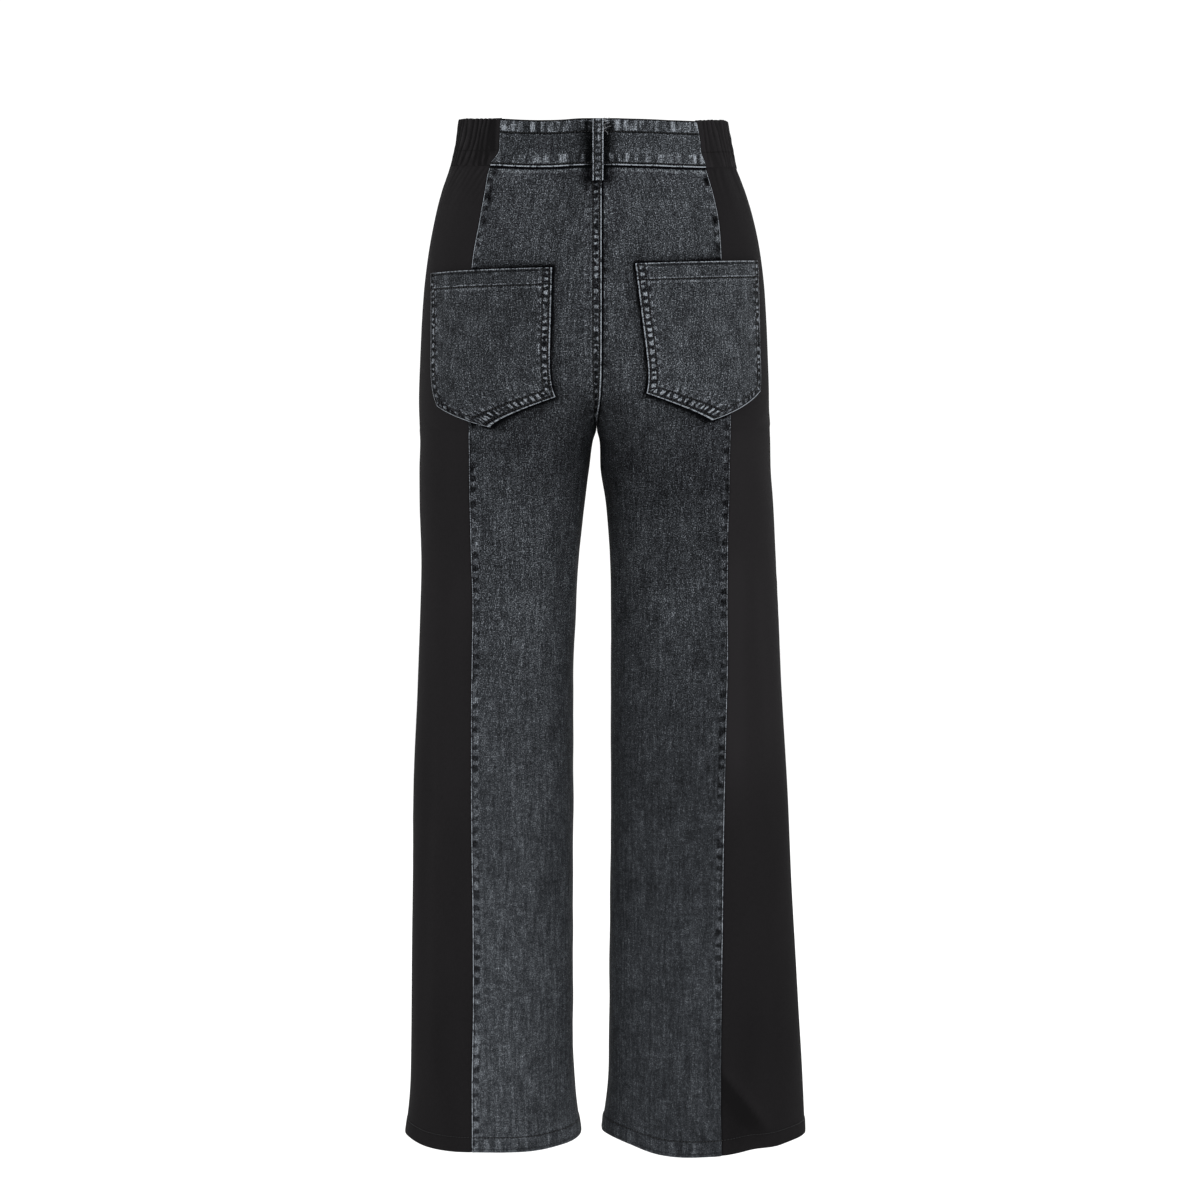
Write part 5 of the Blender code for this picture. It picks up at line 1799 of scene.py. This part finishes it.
def denim(name, seat):
    """Washed black denim: pale and dark yarns, cloudy wash, the marks that sewing leaves, painted light and
    shade.
    """
    material, w = new_material(name)
    if w is None:
        return material
    colours = bpy.context.scene.jeans_cloth
    u, v = w.uv("Cloth")
    side, middle = w.uv("Edges")
    top, hem = w.uv("Ends")
    distance = {"side": side, "middle": middle, "top": top, "hem": hem}
    spot = w.add("ShaderNodeSeparateXYZ", {"Vector": w.spot()}).outputs

    def grain(name, shift=0.0):
        across, down, detail, roughness = GRAINS[name]
        start = w.plus(u, shift) if shift else u
        return w.noise(w.place(start, v, across * MM, down * MM), detail, roughness)

    crisp = w.times(w.rise(spot["Z"], -0.74, -0.34, 0.46, 1.0), colours.wash)
    warp, fine = grain("warp"), grain("grain")
    crinkle = w.centred(grain("crinkle"), 0.26 * colours.wash)
    crinkle = w.times(crinkle, w.rise(spot["Z"], -0.40, -0.28, 1.0, 0.45))
    tone = w.plus(
        w.times(crisp, w.plus(w.centred(fine, 2.4), w.centred(warp, 0.62), w.centred(grain("weft"), 0.30))),
        w.centred(grain("heather"), 0.46 * colours.wash),
        w.centred(grain("streak"), 0.34 * colours.wash),
        w.centred(grain("cloud"), 0.26 * colours.wash),
        crinkle,
        w.centred(grain("broad"), 0.16 * colours.wash),
    )
    relief = [w.times(fine, 0.3), w.times(warp, 0.25)]
    course = {"u": u, "v": v, "middle": middle}
    marks = SEWN[seat]
    pressed = w.rise(spot["Z"], -0.92, -0.76, 0.12, 1.0)
    for entry in marks["lines"]:
        row = dict(zip(LINE_COLUMNS, entry))
        mask = w.line(distance[row["from"]], row["at"] * MM, row["half"] * MM)
        if (seat, row["from"]) == ("under", "side"):
            mask = w.times(mask, pressed)
        if row["tone"] > 0:
            mask = w.times(mask, w.rise(grain("patchy"), 0.32, 0.56, 0.35, 1.0))
        tone = w.plus(tone, w.times(mask, row["tone"]))
    for k, entry in enumerate(marks["strips"]):
        row = dict(zip(STRIP_COLUMNS, entry))
        mask = w.between(distance[row["from"]], row["low"] * MM, row["high"] * MM, 0.8 * MM)
        if (seat, row["from"]) == ("under", "side"):
            mask = w.times(mask, pressed)
        mask = w.times(mask, w.rise(grain("breaks", 0.53 * k), 0.30, 0.58, 0.45, 1.0))
        run, pitch = course[row["along"]], row["pitch"] * MM
        drift = w.noise(w.place(run, 0.37 * k, 3.1 * pitch, MM), 1.0)
        beat = w.math("SINE", w.plus(w.times(run, 2 * math.pi / pitch), w.times(drift, 9.0)))
        tall, even, soft = (2.6, 0.12, 0.21) if row["along"] == "u" else (0.75, 0.20, 0.13)
        blot = w.noise(w.place(w.plus(u, 0.31 * k), v, 0.75 * pitch, tall * pitch), 1.5, 0.5)
        spots = w.plus(w.times(beat, even), blot)
        spots = w.rise(spots, row["share"] - soft, row["share"] + soft)
        patch = w.math("MULTIPLY_ADD", spots, row["light"] - row["dark"], row["dark"])
        tone = w.plus(tone, w.times(mask, patch))
        relief.append(w.times(mask, spots, 1.6))
    shin = w.rise(spot["Z"], -0.85, -0.50, 0.09, 0.0)
    legs = w.rise(spot["X"], -0.004, 0.004, -0.075, 0.03)
    upper = w.rise(spot["Z"], -0.34, -0.26, 1.0, 0.0)
    tone = w.plus(tone, w.wear_and_shading(), shin, w.times(legs, upper), 0.5)
    ramp = w.add("ShaderNodeValToRGB", {"Fac": w.times(tone, 0.8)})
    stops = ramp.color_ramp.elements
    dark, mid, light = (np.array(c) for c in (colours.denim_dark, colours.denim_mid, colours.denim_light))
    stops[0].color = (*dark, 1.0)
    stops[1].color = (*light, 1.0)
    for place, end, share in RAMP:
        colour = dark + (mid - dark) * share if end == "dark" else mid + (light - mid) * share
        stops.new(place).color = (*colour, 1.0)
    relief.append(w.times(w.weave(u, v, 1.1 * MM, 1.1 * MM), 0.12))
    gloss = w.rise(tone, -0.35, 0.25, 0.0, 0.10)
    w.finish(ramp.outputs["Color"], w.plus(*relief), 0.55, 0.35 * MM, 0.86, gloss)
    return material


def denim_reverse():
    """Inside of the denim: the pale weft shows more there."""
    material, w = new_material("denim_reverse")
    if w is None:
        return material
    u, v = w.uv("Cloth")
    weft = w.noise(w.place(u, v, 6.0 * MM, 0.8 * MM), 2.0)
    warp = w.noise(w.place(u, v, 0.9 * MM, 7.0 * MM), 1.0)
    tone = w.plus(w.centred(weft, 0.9), w.centred(warp, 0.5), 0.5)
    colour = w.ramp(tone, (0.030, 0.032, 0.036), (0.21, 0.22, 0.235))
    w.finish(colour, tone, 0.4, 0.3 * MM, 0.9, 0.2)
    return material


def twill(name, level):
    """Black twill: a fine slanting weave, a little dust and an uneven dye, and painted light and shade."""
    material, w = new_material(name)
    if w is None:
        return material
    base = bpy.context.scene.jeans_cloth.twill
    u, v = w.uv("Cloth")
    side, _ = w.uv("Edges")
    _, hem = w.uv("Ends")
    broad = w.noise(w.place(u, v, 40.0 * MM, 120.0 * MM), 2.0)
    thread = w.noise(w.place(u, v, 0.8 * MM, 5.0 * MM), 1.0)
    cross = w.noise(w.place(u, v, 4.0 * MM, 0.8 * MM), 1.0)
    z = w.add("ShaderNodeSeparateXYZ", {"Vector": w.spot()}).outputs["Z"]
    upper = w.rise(z, -0.90, -0.55, 0.0, 0.14)
    weave = w.plus(w.centred(broad, 0.30), w.centred(thread, 0.30), w.centred(cross, 0.22))
    tone = w.plus(weave, w.wear_and_shading(), upper, 0.40)
    # Darker on the hem's row of stitches, and a painted shadow along the denim's edge that laps over the
    # twill
    hem_row, denim_edge_shadow = w.line(hem, HEM_HEIGHT, 0.8 * MM), w.line(side, 0.9 * MM, 1.6 * MM)
    tone = w.plus(tone, w.times(hem_row, -0.5), w.times(denim_edge_shadow, -0.35))
    colour = w.ramp(tone, [c * 0.55 * level for c in base], [c * 1.6 * level for c in base])
    slant = w.weave(u, v, 0.8 * MM, 1.0 * MM)
    relief = w.plus(w.times(slant, 0.25), w.times(thread, 0.4), w.times(cross, 0.3))
    w.finish(colour, relief, 0.35, 0.25 * MM, 0.92, 0.05)
    return material


class JEANS_PT_panel(bpy.types.Panel):
    """Lists the steps of making the jeans"""

    bl_label = "Wide-Leg Jeans"
    bl_idname = "JEANS_PT_panel"
    bl_space_type = "VIEW_3D"
    bl_region_type = "UI"
    bl_category = "Jeans"

    def draw(self, context):
        for group in ("jeans_cloth", "jeans_sewing", "jeans_stage"):
            settings = getattr(context.scene, group)
            for name in settings.__annotations__:
                self.layout.prop(settings, name)
        for step in STEPS:
            self.layout.operator(step.bl_idname)


GROUPS = {"jeans_cloth": JeansCloth, "jeans_sewing": JeansSewing, "jeans_stage": JeansStage}
STEPS = (
    JEANS_OT_stage,
    JEANS_OT_legs,
    JEANS_OT_sides,
    JEANS_OT_waistband,
    JEANS_OT_pockets,
    JEANS_OT_loops,
    JEANS_OT_stitching,
    JEANS_OT_button,
    JEANS_OT_frays,
)


def register():
    """Adds the groups, the steps and the panel."""
    for made in (*GROUPS.values(), *STEPS, JEANS_PT_panel):
        bpy.utils.register_class(made)
    for name, group in GROUPS.items():
        setattr(bpy.types.Scene, name, PointerProperty(type=group))


def unregister():
    """Takes them out again."""
    for name in GROUPS:
        delattr(bpy.types.Scene, name)
    for made in reversed((*GROUPS.values(), *STEPS, JEANS_PT_panel)):
        bpy.utils.unregister_class(made)


def main():
    """Makes the jeans step by step."""
    register()
    bpy.ops.jeans.stage()
    bpy.ops.jeans.legs()
    bpy.ops.jeans.sides()
    bpy.ops.jeans.waistband()
    bpy.ops.jeans.pockets()
    bpy.ops.jeans.loops()
    bpy.ops.jeans.stitching()
    bpy.ops.jeans.button()
    bpy.ops.jeans.frays()


if __name__ == "__main__":
    main()
